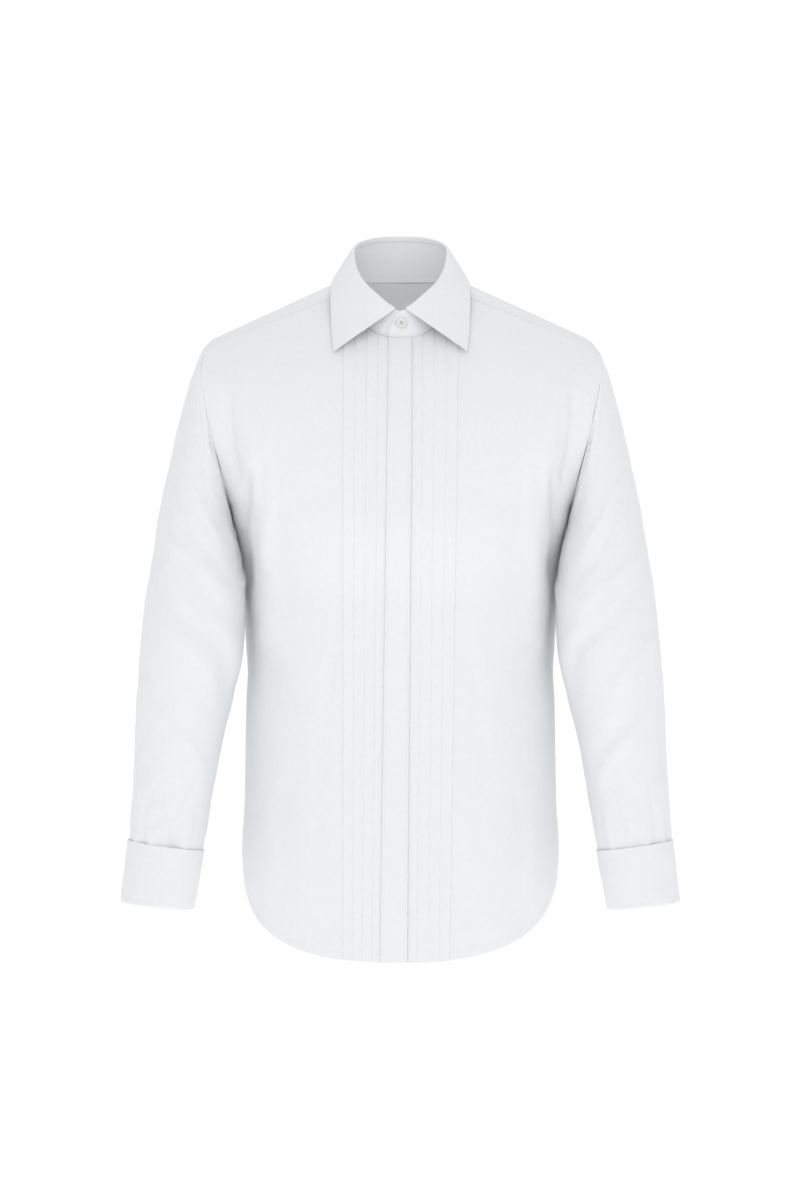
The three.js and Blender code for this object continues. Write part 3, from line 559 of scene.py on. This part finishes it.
# pleated bib, each pleat folded away from the fly and lying a little over the next
def makeBib(sign, side):
    across = np.array([0, 0.012, 0.05, 0.14, 0.28, 0.45, 0.62, 0.78, 0.9, 0.945, 0.97, 0.985])
    shares, rises = [], []
    for k in range(bib["pleats"]):
        for t in across:
            shares.append((k + t) / bib["pleats"])
            rises.append(0.12 + 0.88 * smooth(t / 0.9) if t > 0.011 else 0.12)
        rises[-2:] = [0.93, 0.7]  # the folded edge is round
    shares.append(1.0)
    rises.append(0.15)
    shares, rises = np.array(shares), np.array(rises)
    points = frontPanel(sign, [{"spot": bibEdge(sign, share, bib["tuck"])} for share in shares])
    height = points[:, :, 2]
    swell = 1 + 0.16 * softWaves(height * 0.6, shares[None] * 160, 20 + sign, 70)
    far = bib["clear"] + bib["cloth"] * 0.4 + bib["drop"] * rises[None] * swell
    if sign < 0:
        points, far = points[:, ::-1], far[:, ::-1]
    piece = wall(side + "Bib", points, bib["clear"], far, sharp=40)
    declare(piece, "bib_" + side)


makeBib(-1, "right")
makeBib(1, "left")
print("placket and bib made")

# back and yoke; sideOut lifts the back's edge over the side seam
backPanel = {"seamGap": 0.3, "sideOut": 0.9}


def makeBack():
    half = np.unique(np.concatenate([np.linspace(0, 1, 62), 1 - np.array([0.003, 0.008, 0.015])]))
    across = np.concatenate([-half[::-1], half[1:]])
    rows, turn = steps[:, None], across[None]
    rise = np.clip(rows, 0, 1)
    low = hemHeight(turn, "back") + (hemHeight(1, "front") - hemHeight(1, "back")) * np.abs(turn) ** 8
    top = mix(body["armBottom"], body["backSeam"] - backPanel["seamGap"],
              np.sin(rise * np.pi / 2) * 0.35 + rise * 0.65)
    z = np.where(rows <= 0, mix(body["armBottom"], low, -np.minimum(rows, 0)), top)
    x = edgeWidth(z) * np.sin(turn * np.pi / 2)
    points = bodySurface(x, z, "back")
    points[..., 1] += backPanel["sideOut"] * smooth((np.abs(turn) - 0.96) / 0.04)
    relief = seamValley(np.abs(across))
    inner = relief - panel["thick"] / 2 - hemBand()
    outer = relief + panel["thick"] / 2
    piece = wall("backPanel", points[:, ::-1], inner[:, ::-1], outer[:, ::-1])
    declare(piece, "back")
    return points


backPoints = makeBack()
yoke = {"armShare": 0.3, "overScale": 100, "thick": 1.1, "seamGap": 0.3, "neckGap": 0.8,
        "valley": 0.55, "valleyWidth": 2.4, "halfSpan": 120, "seamLength": 420}


def overOf(x, z):
    return np.sqrt(np.maximum(ridgeHeight(x) - z, 0) / yoke["overScale"])


def neckline(angle):
    a = np.radians(angle)
    drop = np.where(np.cos(a) > 0, body["neckRise"], body["neckDrop"])
    return body["neckHalf"] * np.sin(a), body["shoulderInner"] + drop * np.cos(a)


def yokeOuter(u):
    side = np.where(u < 0.5, -1, 1)
    fromFront = np.minimum(u, 1 - u)
    backTurn = -math.acos((body["backSeam"] - armMiddle) / armHalf)
    frontTurn = math.acos((yokeSeamEnd + yoke["seamGap"] - armMiddle) / armHalf)
    turn = mix(frontTurn, backTurn, np.minimum(fromFront / yoke["armShare"], 1))
    zArm = armMiddle + armHalf * np.cos(turn)
    xArm = halfWidth(zArm)
    t = np.maximum((fromFront - yoke["armShare"]) / (0.5 - yoke["armShare"]), 0)
    xBack = halfWidth(body["backSeam"]) * (1 - t)
    onArm = fromFront <= yoke["armShare"]
    x = np.where(onArm, xArm, xBack)
    over = np.where(onArm, overOf(xArm, zArm) * np.where(turn > 0, -1, 1), overOf(xBack, body["backSeam"]))
    return side * x, over


def makeYoke():
    u = np.unique(np.concatenate([np.linspace(0, 1, 133), [0.3, 0.7, 0.002, 0.005, 0.995, 0.998]]))
    v = np.unique(np.concatenate([np.linspace(0, 1, 40), [0.992, 0.98]]))[:, None]
    drop = body["shoulderInner"] - frontTop(body["neckCorner"]) - yoke["neckGap"]
    start = 180 - math.degrees(math.acos(drop / body["neckDrop"]))
    angle = mix(-start, start, u)
    xIn, zIn = neckline(angle)
    overIn = overOf(xIn, zIn) * np.where(np.abs(angle) > 90, -1, 1)
    xOut, overOut = yokeOuter(u)
    x, over = mix(xIn[None], xOut[None], v), mix(overIn[None], overOut[None], v)
    z = ridgeHeight(x) - yoke["overScale"] * over * over
    front, back = bodySurface(x, z, "front"), bodySurface(x, z, "back")
    points = np.where((over < 0)[..., None], front, back)
    sideSeam = (1 - v) * yoke["halfSpan"] / yoke["valleyWidth"]
    frontSeams = np.minimum(u, 1 - u) * yoke["seamLength"] / yoke["valleyWidth"]
    relief = -yoke["valley"] * np.maximum(np.exp(-(sideSeam**2)), np.exp(-(frontSeams**2))[None])
    piece = wall("yokePanel", points, relief - yoke["thick"] / 2, relief + yoke["thick"] / 2)
    declare(piece, "yoke")
    normals = gridNormals(points, False)
    # a row of stitches beside the seam to the back and the ones to the fronts
    far = (u > yoke["armShare"] + 0.004) & (u < 1 - yoke["armShare"] - 0.004)
    lines = [lineOn(points[-4][far], normals[-4][far], 0.62)]
    lines += [lineOn(points[1:-2, k], normals[1:-2, k], 0.6) for k in (4, -5)]
    stitchRow("yokeStitching", lines)


makeYoke()
print("back and yoke made")

# sleeves: rows are (outer x, outer z, inner x, inner z, half depth, middle's y) of each ring
sleeve = {
    "rings": [
        (212, -56.5, 190, -245, 64, 0), (222.5, -69.5, 189.8, -249, 64.5, -0.5),
        (234.3, -99, 189.2, -254, 65, -2), (246, -143, 188, -262, 65, -5),
        (257, -190, 186, -273, 64, -10), (267, -236, 181.5, -288, 62, -16),
        (275.5, -290, 177.3, -314, 60, -23), (284, -345, 174, -352, 58, -29),
        (290, -400, 175.8, -402, 56, -33), (294, -455, 190.5, -458, 53, -34),
        (296.3, -510, 200.8, -515, 49.5, -35), (298.8, -560, 210.3, -567, 46, -37),
        (301.2, -600, 217, -609, 42, -39), (302.5, -624, 222.7, -635, 40, -40),
    ],
    # main folds: angle and share of the length at both ends, half width and height
    "folds": [
        (128, 0.06, 150, 0.4, 10, 3.2), (70, 0.42, 150, 0.66, 12, -3.5), (110, 0.56, 190, 0.72, 12, 3),
        (30, 0.82, 70, 0.98, 10, 2.6), (120, 0.84, 96, 0.98, 9, -2.6), (230, 0.1, 250, 0.42, 12, 3.2),
        (300, 0.5, 215, 0.66, 12, -3),
    ],
    # smaller creases, for the left and the right sleeve
    "creases": {
        1: [
            (96, 0.03, 128, 0.2, 5, 1.5), (60, 0.04, 92, 0.24, 6, -1.2), (150, 0.08, 158, 0.34, 5, -1.7),
            (40, 0.30, 118, 0.43, 7, 1.5), (52, 0.36, 132, 0.50, 6, -1.5), (34, 0.47, 122, 0.55, 7, 1.6),
            (60, 0.53, 140, 0.62, 6, -1.5), (28, 0.60, 104, 0.70, 7, 1.5), (48, 0.66, 132, 0.78, 7, -1.4),
            (70, 0.74, 140, 0.83, 6, 1.3), (22, 0.76, 88, 0.88, 7, -1.3), (88, 0.86, 100, 0.985, 5, 1.5),
            (60, 0.87, 66, 0.985, 5, -1.4), (40, 0.88, 40, 0.985, 5, 1.2), (132, 0.88, 128, 0.985, 5, 1.4),
            (246, 0.42, 170, 0.52, 7, 1.6), (300, 0.38, 222, 0.50, 7, 1.3), (260, 0.56, 190, 0.64, 6, -1.4),
            (330, 0.60, 250, 0.74, 8, 1.4), (300, 0.72, 224, 0.84, 7, -1.3), (210, 0.84, 216, 0.985, 5, 1.4),
            (244, 0.86, 240, 0.985, 5, -1.3), (330, 0.86, 324, 0.985, 6, 1.2), (350, 0.1, 344, 0.3, 9, 0.9),
        ],
        -1: [
            (92, 0.03, 122, 0.17, 5, 1.3), (64, 0.05, 100, 0.28, 6, -1.3), (148, 0.1, 160, 0.36, 5, -1.5),
            (46, 0.27, 124, 0.40, 7, 1.3), (38, 0.34, 120, 0.46, 6, -1.4), (50, 0.44, 136, 0.53, 7, 1.7),
            (30, 0.50, 112, 0.60, 6, -1.4), (58, 0.585, 134, 0.68, 7, 1.5), (26, 0.64, 100, 0.75, 7, -1.5),
            (64, 0.72, 138, 0.81, 6, 1.4), (34, 0.79, 96, 0.9, 7, -1.1), (82, 0.85, 92, 0.985, 5, 1.4),
            (56, 0.86, 60, 0.985, 5, -1.3), (34, 0.87, 36, 0.985, 5, 1.3), (126, 0.87, 120, 0.985, 5, 1.2),
            (240, 0.40, 168, 0.50, 7, 1.5), (304, 0.36, 228, 0.47, 7, 1.2), (256, 0.54, 186, 0.62, 6, -1.5),
            (326, 0.58, 246, 0.71, 8, 1.3), (296, 0.70, 220, 0.82, 7, -1.2), (206, 0.85, 212, 0.985, 5, 1.3),
            (248, 0.87, 246, 0.985, 5, -1.4), (334, 0.85, 328, 0.985, 6, 1.3), (346, 0.08, 352, 0.32, 9, 0.8),
        ],
    },
    "thick": 0.9, "girth": 55, "length": 560, "valley": 0.4, "valleyWidth": 2.2,
}
lastRing = len(sleeve["rings"]) - 1
ringCurves = [curve([(i / lastRing, ring[k]) for i, ring in enumerate(sleeve["rings"])]) for k in range(6)]


def ringPoint(ring, angle):
    outX, outZ, inX, inZ, depth, mid = ring
    across = np.cos(np.radians(angle)) / 2
    return np.stack([(outX + inX) / 2 + (outX - inX) * across,
                     mid - depth * np.sin(np.radians(angle)),
                     (outZ + inZ) / 2 + (outZ - inZ) * across + 0 * depth], -1)


def sleeveFolds(folds, angle, v):
    lift = 0
    for a0, v0, a1, v1, width, height in folds:
        px = ((angle - a0 + 540) % 360 - 180) * math.pi / 180 * sleeve["girth"]
        line = (0, 0, math.radians(a1 - a0) * sleeve["girth"], (v1 - v0) * sleeve["length"], width, height)
        lift = lift + foldHeight([line], px, (v - v0) * sleeve["length"])
    return lift


def sleeveSurface(v, angle, hand):
    ring = [read(v) for read in ringCurves]
    point = ringPoint(ring, angle)
    first = ringPoint(sleeve["rings"][0], angle)
    clear = 0.15 + 0.35 * (0.5 - np.cos(np.radians(angle)) / 2)
    point[..., 0] += (halfWidth(first[..., 2]) + clear - first[..., 0]) * (1 - smooth(v / 0.22))
    centre = np.stack([(ring[0] + ring[2]) / 2, ring[5], (ring[1] + ring[3]) / 2], -1) + 0 * point
    out = unit(point - centre)
    lift = sleeveFolds(sleeve["folds"], angle, v) * smooth(v / 0.05) * smooth((1 - v) / 0.03)
    fine = sleeveFolds(sleeve["creases"][hand], angle, v) + 0.3 * softWaves(
        angle * 0.96, v * sleeve["length"], 30 + hand, 55) * smooth(v / 0.1)
    lift = lift + 1.5 * fine * smooth(v / 0.04) * smooth((1 - v) / 0.012)
    return point + out * lift[..., None]


def handed(points, hand):
    if hand > 0:
        return points
    return (points * np.array([-1, 1, 1]))[:, ::-1]


def makeSleeve(hand, side):
    around = np.arange(0, 360, 4.0)
    v = np.unique(np.concatenate([np.linspace(0, 1, 136), [0.0025, 0.005, 0.01]]))
    points = sleeveSurface(v[:, None], around[None], hand)
    relief = -sleeve["valley"] * np.exp(-((v * sleeve["length"] / sleeve["valleyWidth"]) ** 2))[:, None]
    half = sleeve["thick"] / 2
    piece = wall(side + "Sleeve", handed(points, hand), relief - half, relief + half, around=True)
    declare(piece, "sleeve_" + side)


makeSleeve(1, "left")
makeSleeve(-1, "right")

# double cuffs, folded up over themselves, their ends a little apart at the outer back; foldRow is the
# first row of the turned side, slitRow the one that the link slits lie on
cuff = {
    "seam": (302.5, -624.4, 222.8, -635.4, 40, -40.2),
    "fold": (307.9, -683.5, 233.8, -692, 39.5, -45),
    "edge": (304.7, -616, 218.6, -628, 43.6, -39.6),
    "gap": 3.4, "slit": 290, "slitHalf": 2.6, "thick": 1.2, "clear": 0.25, "ripple": 0.35,
    "inner": 16, "turned": 6, "foldRow": 22, "slitRow": 30, "slitLength": 13, "slitHalfWidth": 0.55,
}


def cuffPoint(start, t, out, drop, angle):
    ring = [mix(a, b, t) for a, b in zip(cuff[start], cuff["fold"])]
    grow = out * t if start == "edge" else out
    ring = [ring[0] + grow, ring[1] - drop, ring[2] - grow, ring[3] - drop, ring[4] + grow, ring[5]]
    return ringPoint(ring, angle)


def makeCuff(hand, side):
    angle = np.linspace(cuff["slit"] + cuff["slitHalf"], cuff["slit"] + 360 - cuff["slitHalf"], 110)
    profile = [("seam", t, 0, 0) for t in np.linspace(0, 0.955, cuff["inner"])]
    for turn in np.linspace(0.15, 1, cuff["turned"]):
        lean = turn * math.pi
        profile.append(("seam", 1 - 0.02 * (1 - math.sin(lean)), cuff["gap"] * (1 - math.cos(lean)) / 2,
                        1.5 * math.sin(lean)))
    profile += [("edge", t, cuff["gap"], 0) for t in np.linspace(0.955, 0, 20)]
    points = np.stack([cuffPoint(*step, angle) for step in profile])
    rows = np.arange(len(profile))[:, None]
    ripple = cuff["ripple"] * softWaves(angle[None] * 0.7, rows * 3.0, 40 + hand, 50)
    lift = np.where(rows >= cuff["foldRow"], ripple + cuff["clear"], 0)
    points = handed(points, hand)
    if hand < 0:
        lift = lift[:, ::-1]
    half = cuff["thick"] / 2
    piece = wall(side + "Cuff", points, lift - half, lift + half, "stiffened")
    declare(piece, "cuff_" + side)
    normals = gridNormals(points, False)
    out = half - sunk
    lines = [lineOn(points[-3], normals[-3], out + lift[-3, :, None])]
    outer = slice(cuff["foldRow"], -2)
    for k in (4, -5):
        lines.append(lineOn(points[outer, k], normals[outer, k], out + lift[outer, k, None]))
    stitchRow(side + "CuffStitching", lines)
    # the slits for a cuff link, worked with close stitches, one at each end
    holes, row = [], cuff["slitRow"]
    line = np.linspace(-0.5, 0.5, 12)[:, None] * cuff["slitLength"]
    for k in (7, -8):
        way = unit(points[row, k + 6] - points[row, k - 6])
        up = unit(points[row - 4, k] - points[row + 4, k])
        for step in (-cuff["slitHalfWidth"], cuff["slitHalfWidth"]):
            holes.append((points[row, k] + way * line + up * step + normals[row, k] * (out + 0.1),
                          np.repeat(normals[row, k][None], 12, 0)))
    stitchRow(side + "CuffSlits", holes, length=0.9, gap=0.12, thick=0.75, rise=0.12)


makeCuff(1, "left")
makeCuff(-1, "right")

# sleeve plackets: a strip with a stitched end over the opening above each cuff
sleevePlacket = {"half": 12, "share": 0.22, "thick": 0.8, "edge": 0.35, "lift": 0.6}


def makeSleevePlacket(hand, side):
    v = np.linspace(1 - sleevePlacket["share"], 0.985, 40)
    depth = ringCurves[4](v)
    spread = np.degrees(sleevePlacket["half"] / depth)
    across = np.array([-1, -0.96, -0.8, -0.4, 0, 0.4, 0.8, 0.96, 1])
    angle = cuff["slit"] + across[None] * spread[:, None]
    points = handed(sleeveSurface(v[:, None], angle, hand), hand)
    low = sleevePlacket["lift"]
    rise = np.where(np.abs(across) > 0.99, sleevePlacket["edge"], sleevePlacket["thick"])
    piece = wall(side + "SleevePlacket", points, low, low + rise[None])
    declare(piece, "sleeve_placket_" + side)
    normals = gridNormals(points, False)
    out = low + sleevePlacket["thick"]
    lines = [lineOn(points[2:, k], normals[2:, k], out) for k in (2, 6)]
    lines += [lineOn(points[k, 2:7], normals[k, 2:7], out) for k in (2, 8)]
    stitchRow(side + "SleevePlacketStitching", lines)


makeSleevePlacket(1, "left")
makeSleevePlacket(-1, "right")
print("sleeves and cuffs made")

# collar: the roll line's height and the leaf's outer edge (x, y, z), by angle from the centre back
collar = {
    "rollWidth": 52, "rollBack": 58, "rollFront": 66, "frontAngle": 173, "bandEnd": 192,
    "rollGap": 4.6, "rollOut": 3.4, "bulge": 0.07, "thick": 1.1, "rollRows": 10,
    "footIn": 0.983, "lap": 0.9, "buttonAt": 0.56, "holeHalf": 7.5, "stitchIn": 6,
    "roll": [(0, 63.4), (15, 63.1), (30, 61.6), (45, 58.8), (64, 53.5), (90, 42), (106, 26.5), (124, 10),
             (149, -8.5), (173, -25), (180, -27.5), (200, -36)],
    "edge": [(0, 0, 79, 6), (45, 54, 61, 8), (90, 76, 12, 11.5), (120, 78, -23, -6), (150, 77, -54, -42),
             (173, 73.8, -83, -73)],
}
rollHeight = curve(collar["roll"])
edgeCurves = [curve([(row[0], row[k]) for row in collar["edge"]]) for k in (1, 2, 3)]


def rollPoint(angle):
    a = np.radians(angle)
    depth = np.where(np.cos(a) > 0, collar["rollBack"], collar["rollFront"])
    return np.stack([collar["rollWidth"] * np.sin(a), depth * np.cos(a), rollHeight(np.abs(angle))], -1)


def bandFoot(angle):
    past = np.abs(angle) > 180
    x, z = neckline(np.where(past, np.sign(angle) * (360 - np.abs(angle)), angle))
    x = np.where(past, -np.abs(x) * np.sign(angle), x)
    front, back = bodySurface(x, z, "front", False), bodySurface(x, z, "back", False)
    foot = np.where((np.abs(angle) > 90)[..., None], front, back)
    return foot * np.array([collar["footIn"], collar["footIn"], 1]) + np.array([0, 0, 0.3])


def bandLap(angle):
    return collar["lap"] * smooth((np.abs(angle) - 150) / 22) * np.sign(angle)


def outward(point):
    return unit(point * np.array([1, 1, 0]))


def bandPoint(angle, v):
    foot, top = bandFoot(angle), rollPoint(angle)
    along = top - foot
    full = np.linalg.norm(along, axis=-1, keepdims=True)
    past = smooth((np.abs(angle) - 178) / (collar["bandEnd"] - 178))[..., None]
    gap = collar["rollGap"] * (1 - smooth((np.abs(angle) - collar["frontAngle"] + 1.6) / 2.6))[..., None]
    height = (full - gap - 0.3) * (1 - 0.5 * past * past)
    point = foot + along / full * height * v
    return point + outward(point) * bandLap(angle)[..., None]


def makeBand():
    angle = np.linspace(collar["bandEnd"], -collar["bandEnd"], 256)
    v = np.array([0, 0.02, 0.08, 0.16, 0.3, 0.45, 0.6, 0.75, 0.88, 0.97, 1])
    points = np.stack([bandPoint(angle, t) for t in v])
    half = collar["thick"] / 2
    piece = wall("collarBand", points, -half, half, "stiffened")
    declare(piece, "collar_band")
    normals = gridNormals(points, False)
    stitchRow("bandStitching", [lineOn(points[3], normals[3] * face, 0.52) for face in (1, -1)])
    # the worked buttonhole, level, with the button over it
    seat, out = bandPoint(np.array([180.0]), collar["buttonAt"])[0], unit(np.array([0.0, -1.0, 0.12]))
    line = np.linspace(-collar["holeHalf"], collar["holeHalf"], 14)[:, None] * np.array([1, 0, 0])
    holes = [(seat + line + np.array([1, 0, step]) + out * 0.7, np.repeat(out[None], 14, 0))
             for step in (-0.6, 0.6)]
    stitchRow("buttonholeStitching", holes, length=0.85, gap=0.1, thick=0.7, rise=0.1)


makeBand()


def leafRows(angle, fallSteps):
    sign = np.where(angle < 0, -1.0, 1.0)
    roll, foot = rollPoint(angle), bandFoot(angle)
    up = unit(roll - foot)
    size = np.abs(angle)
    edge = np.stack([edgeCurves[0](size) * sign, edgeCurves[1](size), edgeCurves[2](size)], -1)
    out = outward(roll)
    roll = roll + out * (bandLap(angle) * (size > 150))[..., None]
    half = collar["rollOut"] / 2
    rows = [roll - up * collar["rollGap"], roll - up * collar["rollGap"] * 0.5, roll - up * 0.4]
    for turn in np.linspace(0.12, 0.94, collar["rollRows"] - 3):
        lean = turn * math.pi
        rows.append(roll + out * half * (1 - math.cos(lean)) + up * (1.5 * math.sin(lean) - 1.1 * turn))
    over = roll + out * collar["rollOut"] - up * 1.2
    fall = edge - over
    size = np.linalg.norm(fall, axis=-1, keepdims=True)
    for t in fallSteps:
        rows.append(over + fall * t + out * collar["bulge"] * size * 2 * t * (1 - t))
    return np.stack(rows)


def makeLeaf():
    front = collar["frontAngle"]
    angle = np.concatenate([np.linspace(front, 150, 14)[:-1], np.linspace(150, -150, 130),
                            np.linspace(-150, -front, 14)[1:]])
    fallSteps = np.concatenate([np.linspace(0, 0.93, 24), [0.955, 0.975, 0.99, 1.0]])
    points = leafRows(angle, fallSteps)
    half = collar["thick"] / 2
    edge = np.zeros(points.shape[:2])
    edge[-2:] = np.array([-0.05, -0.25])[:, None]  # thinner at its outer edge
    piece = wall("collarLeaf", points, -half - edge * 0.5, half + edge, "stiffened")
    declare(piece, "collar_leaf")
    normals = gridNormals(points, False)
    # stitching inside the outer edge and the two front edges
    fall = np.linalg.norm(points[-1] - points[collar["rollRows"]], axis=-1)
    columns, rows = np.arange(2, len(angle) - 2), slice(collar["rollRows"] + 2, -4)
    share = np.interp(1 - collar["stitchIn"] / fall[columns], fallSteps, np.arange(len(fallSteps)))
    lines = [lineAcross(points, normals, columns, collar["rollRows"] + share, half - sunk)]
    lines += [lineOn(points[rows, k], normals[rows, k], half - sunk) for k in (2, -3)]
    stitchRow("collarStitching", lines)


makeLeaf()
print("collar made")

# collar button: a dished disc with a raised rim, four holes shown only as discs of painted shade, and a cross
# of thread
button = {"radius": 5.7, "thick": 2.3, "rim": 1.2, "dish": 0.8, "sides": 48, "holeAt": 1.6, "hole": 0.75,
          "threadOver": 0.25, "threadAside": 0.15, "threadRise": 0.45}


def makeButton():
    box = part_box("collar_button")
    middle = (np.array(box[0]) + np.array(box[1])) / 2 / mm
    lean = bandPoint(np.array([180.0]), 1)[0] - bandPoint(np.array([180.0]), 0)[0]
    tilt = math.atan2(lean[1], lean[2])
    out = np.array([0, -math.cos(tilt), math.sin(tilt)])
    up = np.array([0, math.sin(tilt), math.cos(tilt)])
    right = np.array([1.0, 0, 0])
    r, t, inside = button["radius"], button["thick"], button["radius"] - button["rim"]
    floorAt = button["thick"] / 2 - button["dish"]
    rings = [(r * 0.8, -t / 2), (r, -t * 0.2), (r, t * 0.15), (r - 0.35, t / 2 - 0.05), (r - 0.8, t / 2),
             (inside, t / 2 - 0.2), (inside - 0.5, floorAt)]
    count = button["sides"]
    turns = np.arange(count) * 2 * math.pi / count
    circle = [right * math.cos(a) + up * math.sin(a) for a in turns]
    corners = [middle - out * t / 2]
    corners += [middle + way * radius + out * height for radius, height in rings for way in circle]
    corners.append(middle + out * (floorAt - 0.05))
    last, top = len(corners) - 1, 1 + (len(rings) - 1) * count
    faces = []
    for j in range(count):
        after = (j + 1) % count
        faces += [[1 + k * count + j, 1 + k * count + after, 1 + (k + 1) * count + after,
                   1 + (k + 1) * count + j] for k in range(len(rings) - 1)]
        faces += [[0, 1 + after, 1 + j], [last, top + j, top + after]]
    piece = makeObject("collarButton", corners, faces, "shell", sharp=50)
    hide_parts("collar_button")
    # four holes as dark discs of painted shade on the dished face, and the thread between them
    face = middle + out * (floorAt - 0.03)
    corners, faces = [], []
    for k in range(4):
        way = (right * (1 if k % 2 else -1) + up * (1 if k > 1 else -1)) / math.sqrt(2)
        centre = face + way * button["holeAt"] + out * 0.06
        faces.append(list(range(len(corners), len(corners) + len(circle[::3]))))
        corners += [centre + side * button["hole"] for side in circle[::3]]
    makeObject("buttonHoles", corners, faces, "holeShade", smoothShade=False)
    lines = []
    line = np.linspace(-1, 1, 5)[:, None]
    rise = out * (button["threadRise"] - 0.35 * line**2)
    for sign in (-1, 1):
        way = (right + up * sign) / math.sqrt(2)
        run = way * line * (button["holeAt"] + button["threadOver"])
        for aside in (-button["threadAside"], button["threadAside"]):
            lines.append((face + run + np.cross(out, way) * aside + rise, np.repeat(out[None], 5, 0)))
    stitchRow("buttonThread", lines, length=3.2, gap=0.1, thick=0.2, rise=0)


makeButton()
print("button made")

# hem stitching, following the fronts and the back
hem = {"stitchUp": 8.0}


def makeHemStitching():
    lines = []
    for points in (frontPoints["right"], frontPoints["left"], backPoints[:, ::-1]):
        run = np.linalg.norm(np.diff(points, axis=0), axis=-1).cumsum(0)
        columns = np.arange(points.shape[1])
        places = np.array([np.interp(hem["stitchUp"], run[:, j], np.arange(1, len(points))) for j in columns])
        normals = gridNormals(points, False)
        lines.append(lineAcross(points, normals, columns, places, panel["thick"] / 2 - sunk))
    stitchRow("hemStitching", lines)


makeHemStitching()

# pale floor and soft studio light
stage = {
    "floorAt": -1.45, "floorSize": 7.0, "glow": 0.45, "backdrop": 1.03, "sky": 0.82,
    # place, size, strength and aim of each light
    "lights": {
        "key": ((-0.9, -3.6, 1.1), 1.6, 10.5, (0, 0, -0.35)),
        "fill": ((1.7, -3.3, 0.1), 1.8, 6, (0, 0, -0.35)),
        "top": ((0.2, 0.6, 2.4), 1.6, 6, (0, 0, -0.35)),
        "neck": ((0.0, -1.3, 1.5), 0.5, 2.5, (0, 0.06, 0)),
        "inside": ((0.0, -0.03, -0.17), 0.1, 0.09, (0, 0.09, -0.02)),
    },
}
floorMesh = bpy.data.meshes.new("floor")
s, z = stage["floorSize"], stage["floorAt"]
floorMesh.from_pydata([(-s, -s, z), (s, -s, z), (s, s, z), (-s, s, z)], [], [(0, 1, 2, 3)])
floor = bpy.data.objects.new("floor", floorMesh)
bpy.context.collection.objects.link(floor)
newMaterial("floorPaint", {"Base Color": (0.9, 0.9, 0.9, 1), "Roughness": 0.9,
                           "Emission Color": (1, 1, 1, 1), "Emission Strength": stage["glow"]})
floorMesh.materials.append(materials["floorPaint"])

world = bpy.data.worlds.new("studio")
bpy.context.scene.world = world
world.use_nodes = True
nodes, links = world.node_tree.nodes, world.node_tree.links
white = (1, 1, 1, 1)
sky = setInputs(nodes["Background"], {"Color": white, "Strength": stage["sky"]})
backdrop = setInputs(nodes.new("ShaderNodeBackground"), {"Color": white, "Strength": stage["backdrop"]})
rays = nodes.new("ShaderNodeLightPath")
either = nodes.new("ShaderNodeMixShader")
links.new(rays.outputs["Is Camera Ray"], either.inputs[0])
links.new(sky.outputs["Background"], either.inputs[1])
links.new(backdrop.outputs["Background"], either.inputs[2])
links.new(either.outputs["Shader"], nodes["World Output"].inputs["Surface"])


def softLight(name, place, size, energy, aim):
    data = bpy.data.lights.new(name, "AREA")
    data.size = size
    data.energy = energy
    light = bpy.data.objects.new(name, data)
    light.location = place
    way = np.array(aim) - np.array(place)
    tilt = math.acos(-way[2] / np.linalg.norm(way))
    light.rotation_euler = (tilt, 0, math.atan2(way[1], way[0]) - math.pi / 2)
    light.visible_camera = False
    bpy.context.collection.objects.link(light)


for name, row in stage["lights"].items():
    softLight(name, *row)
bpy.context.scene.view_settings.view_transform = "Standard"
print("areas in square metres:", {name: round(value, 4) for name, value in areas.items()})
meshes = [made.data for made in bpy.data.objects if made.type == "MESH"]
print("triangles:", sum(len(face.vertices) - 2 for mesh in meshes for face in mesh.polygons))
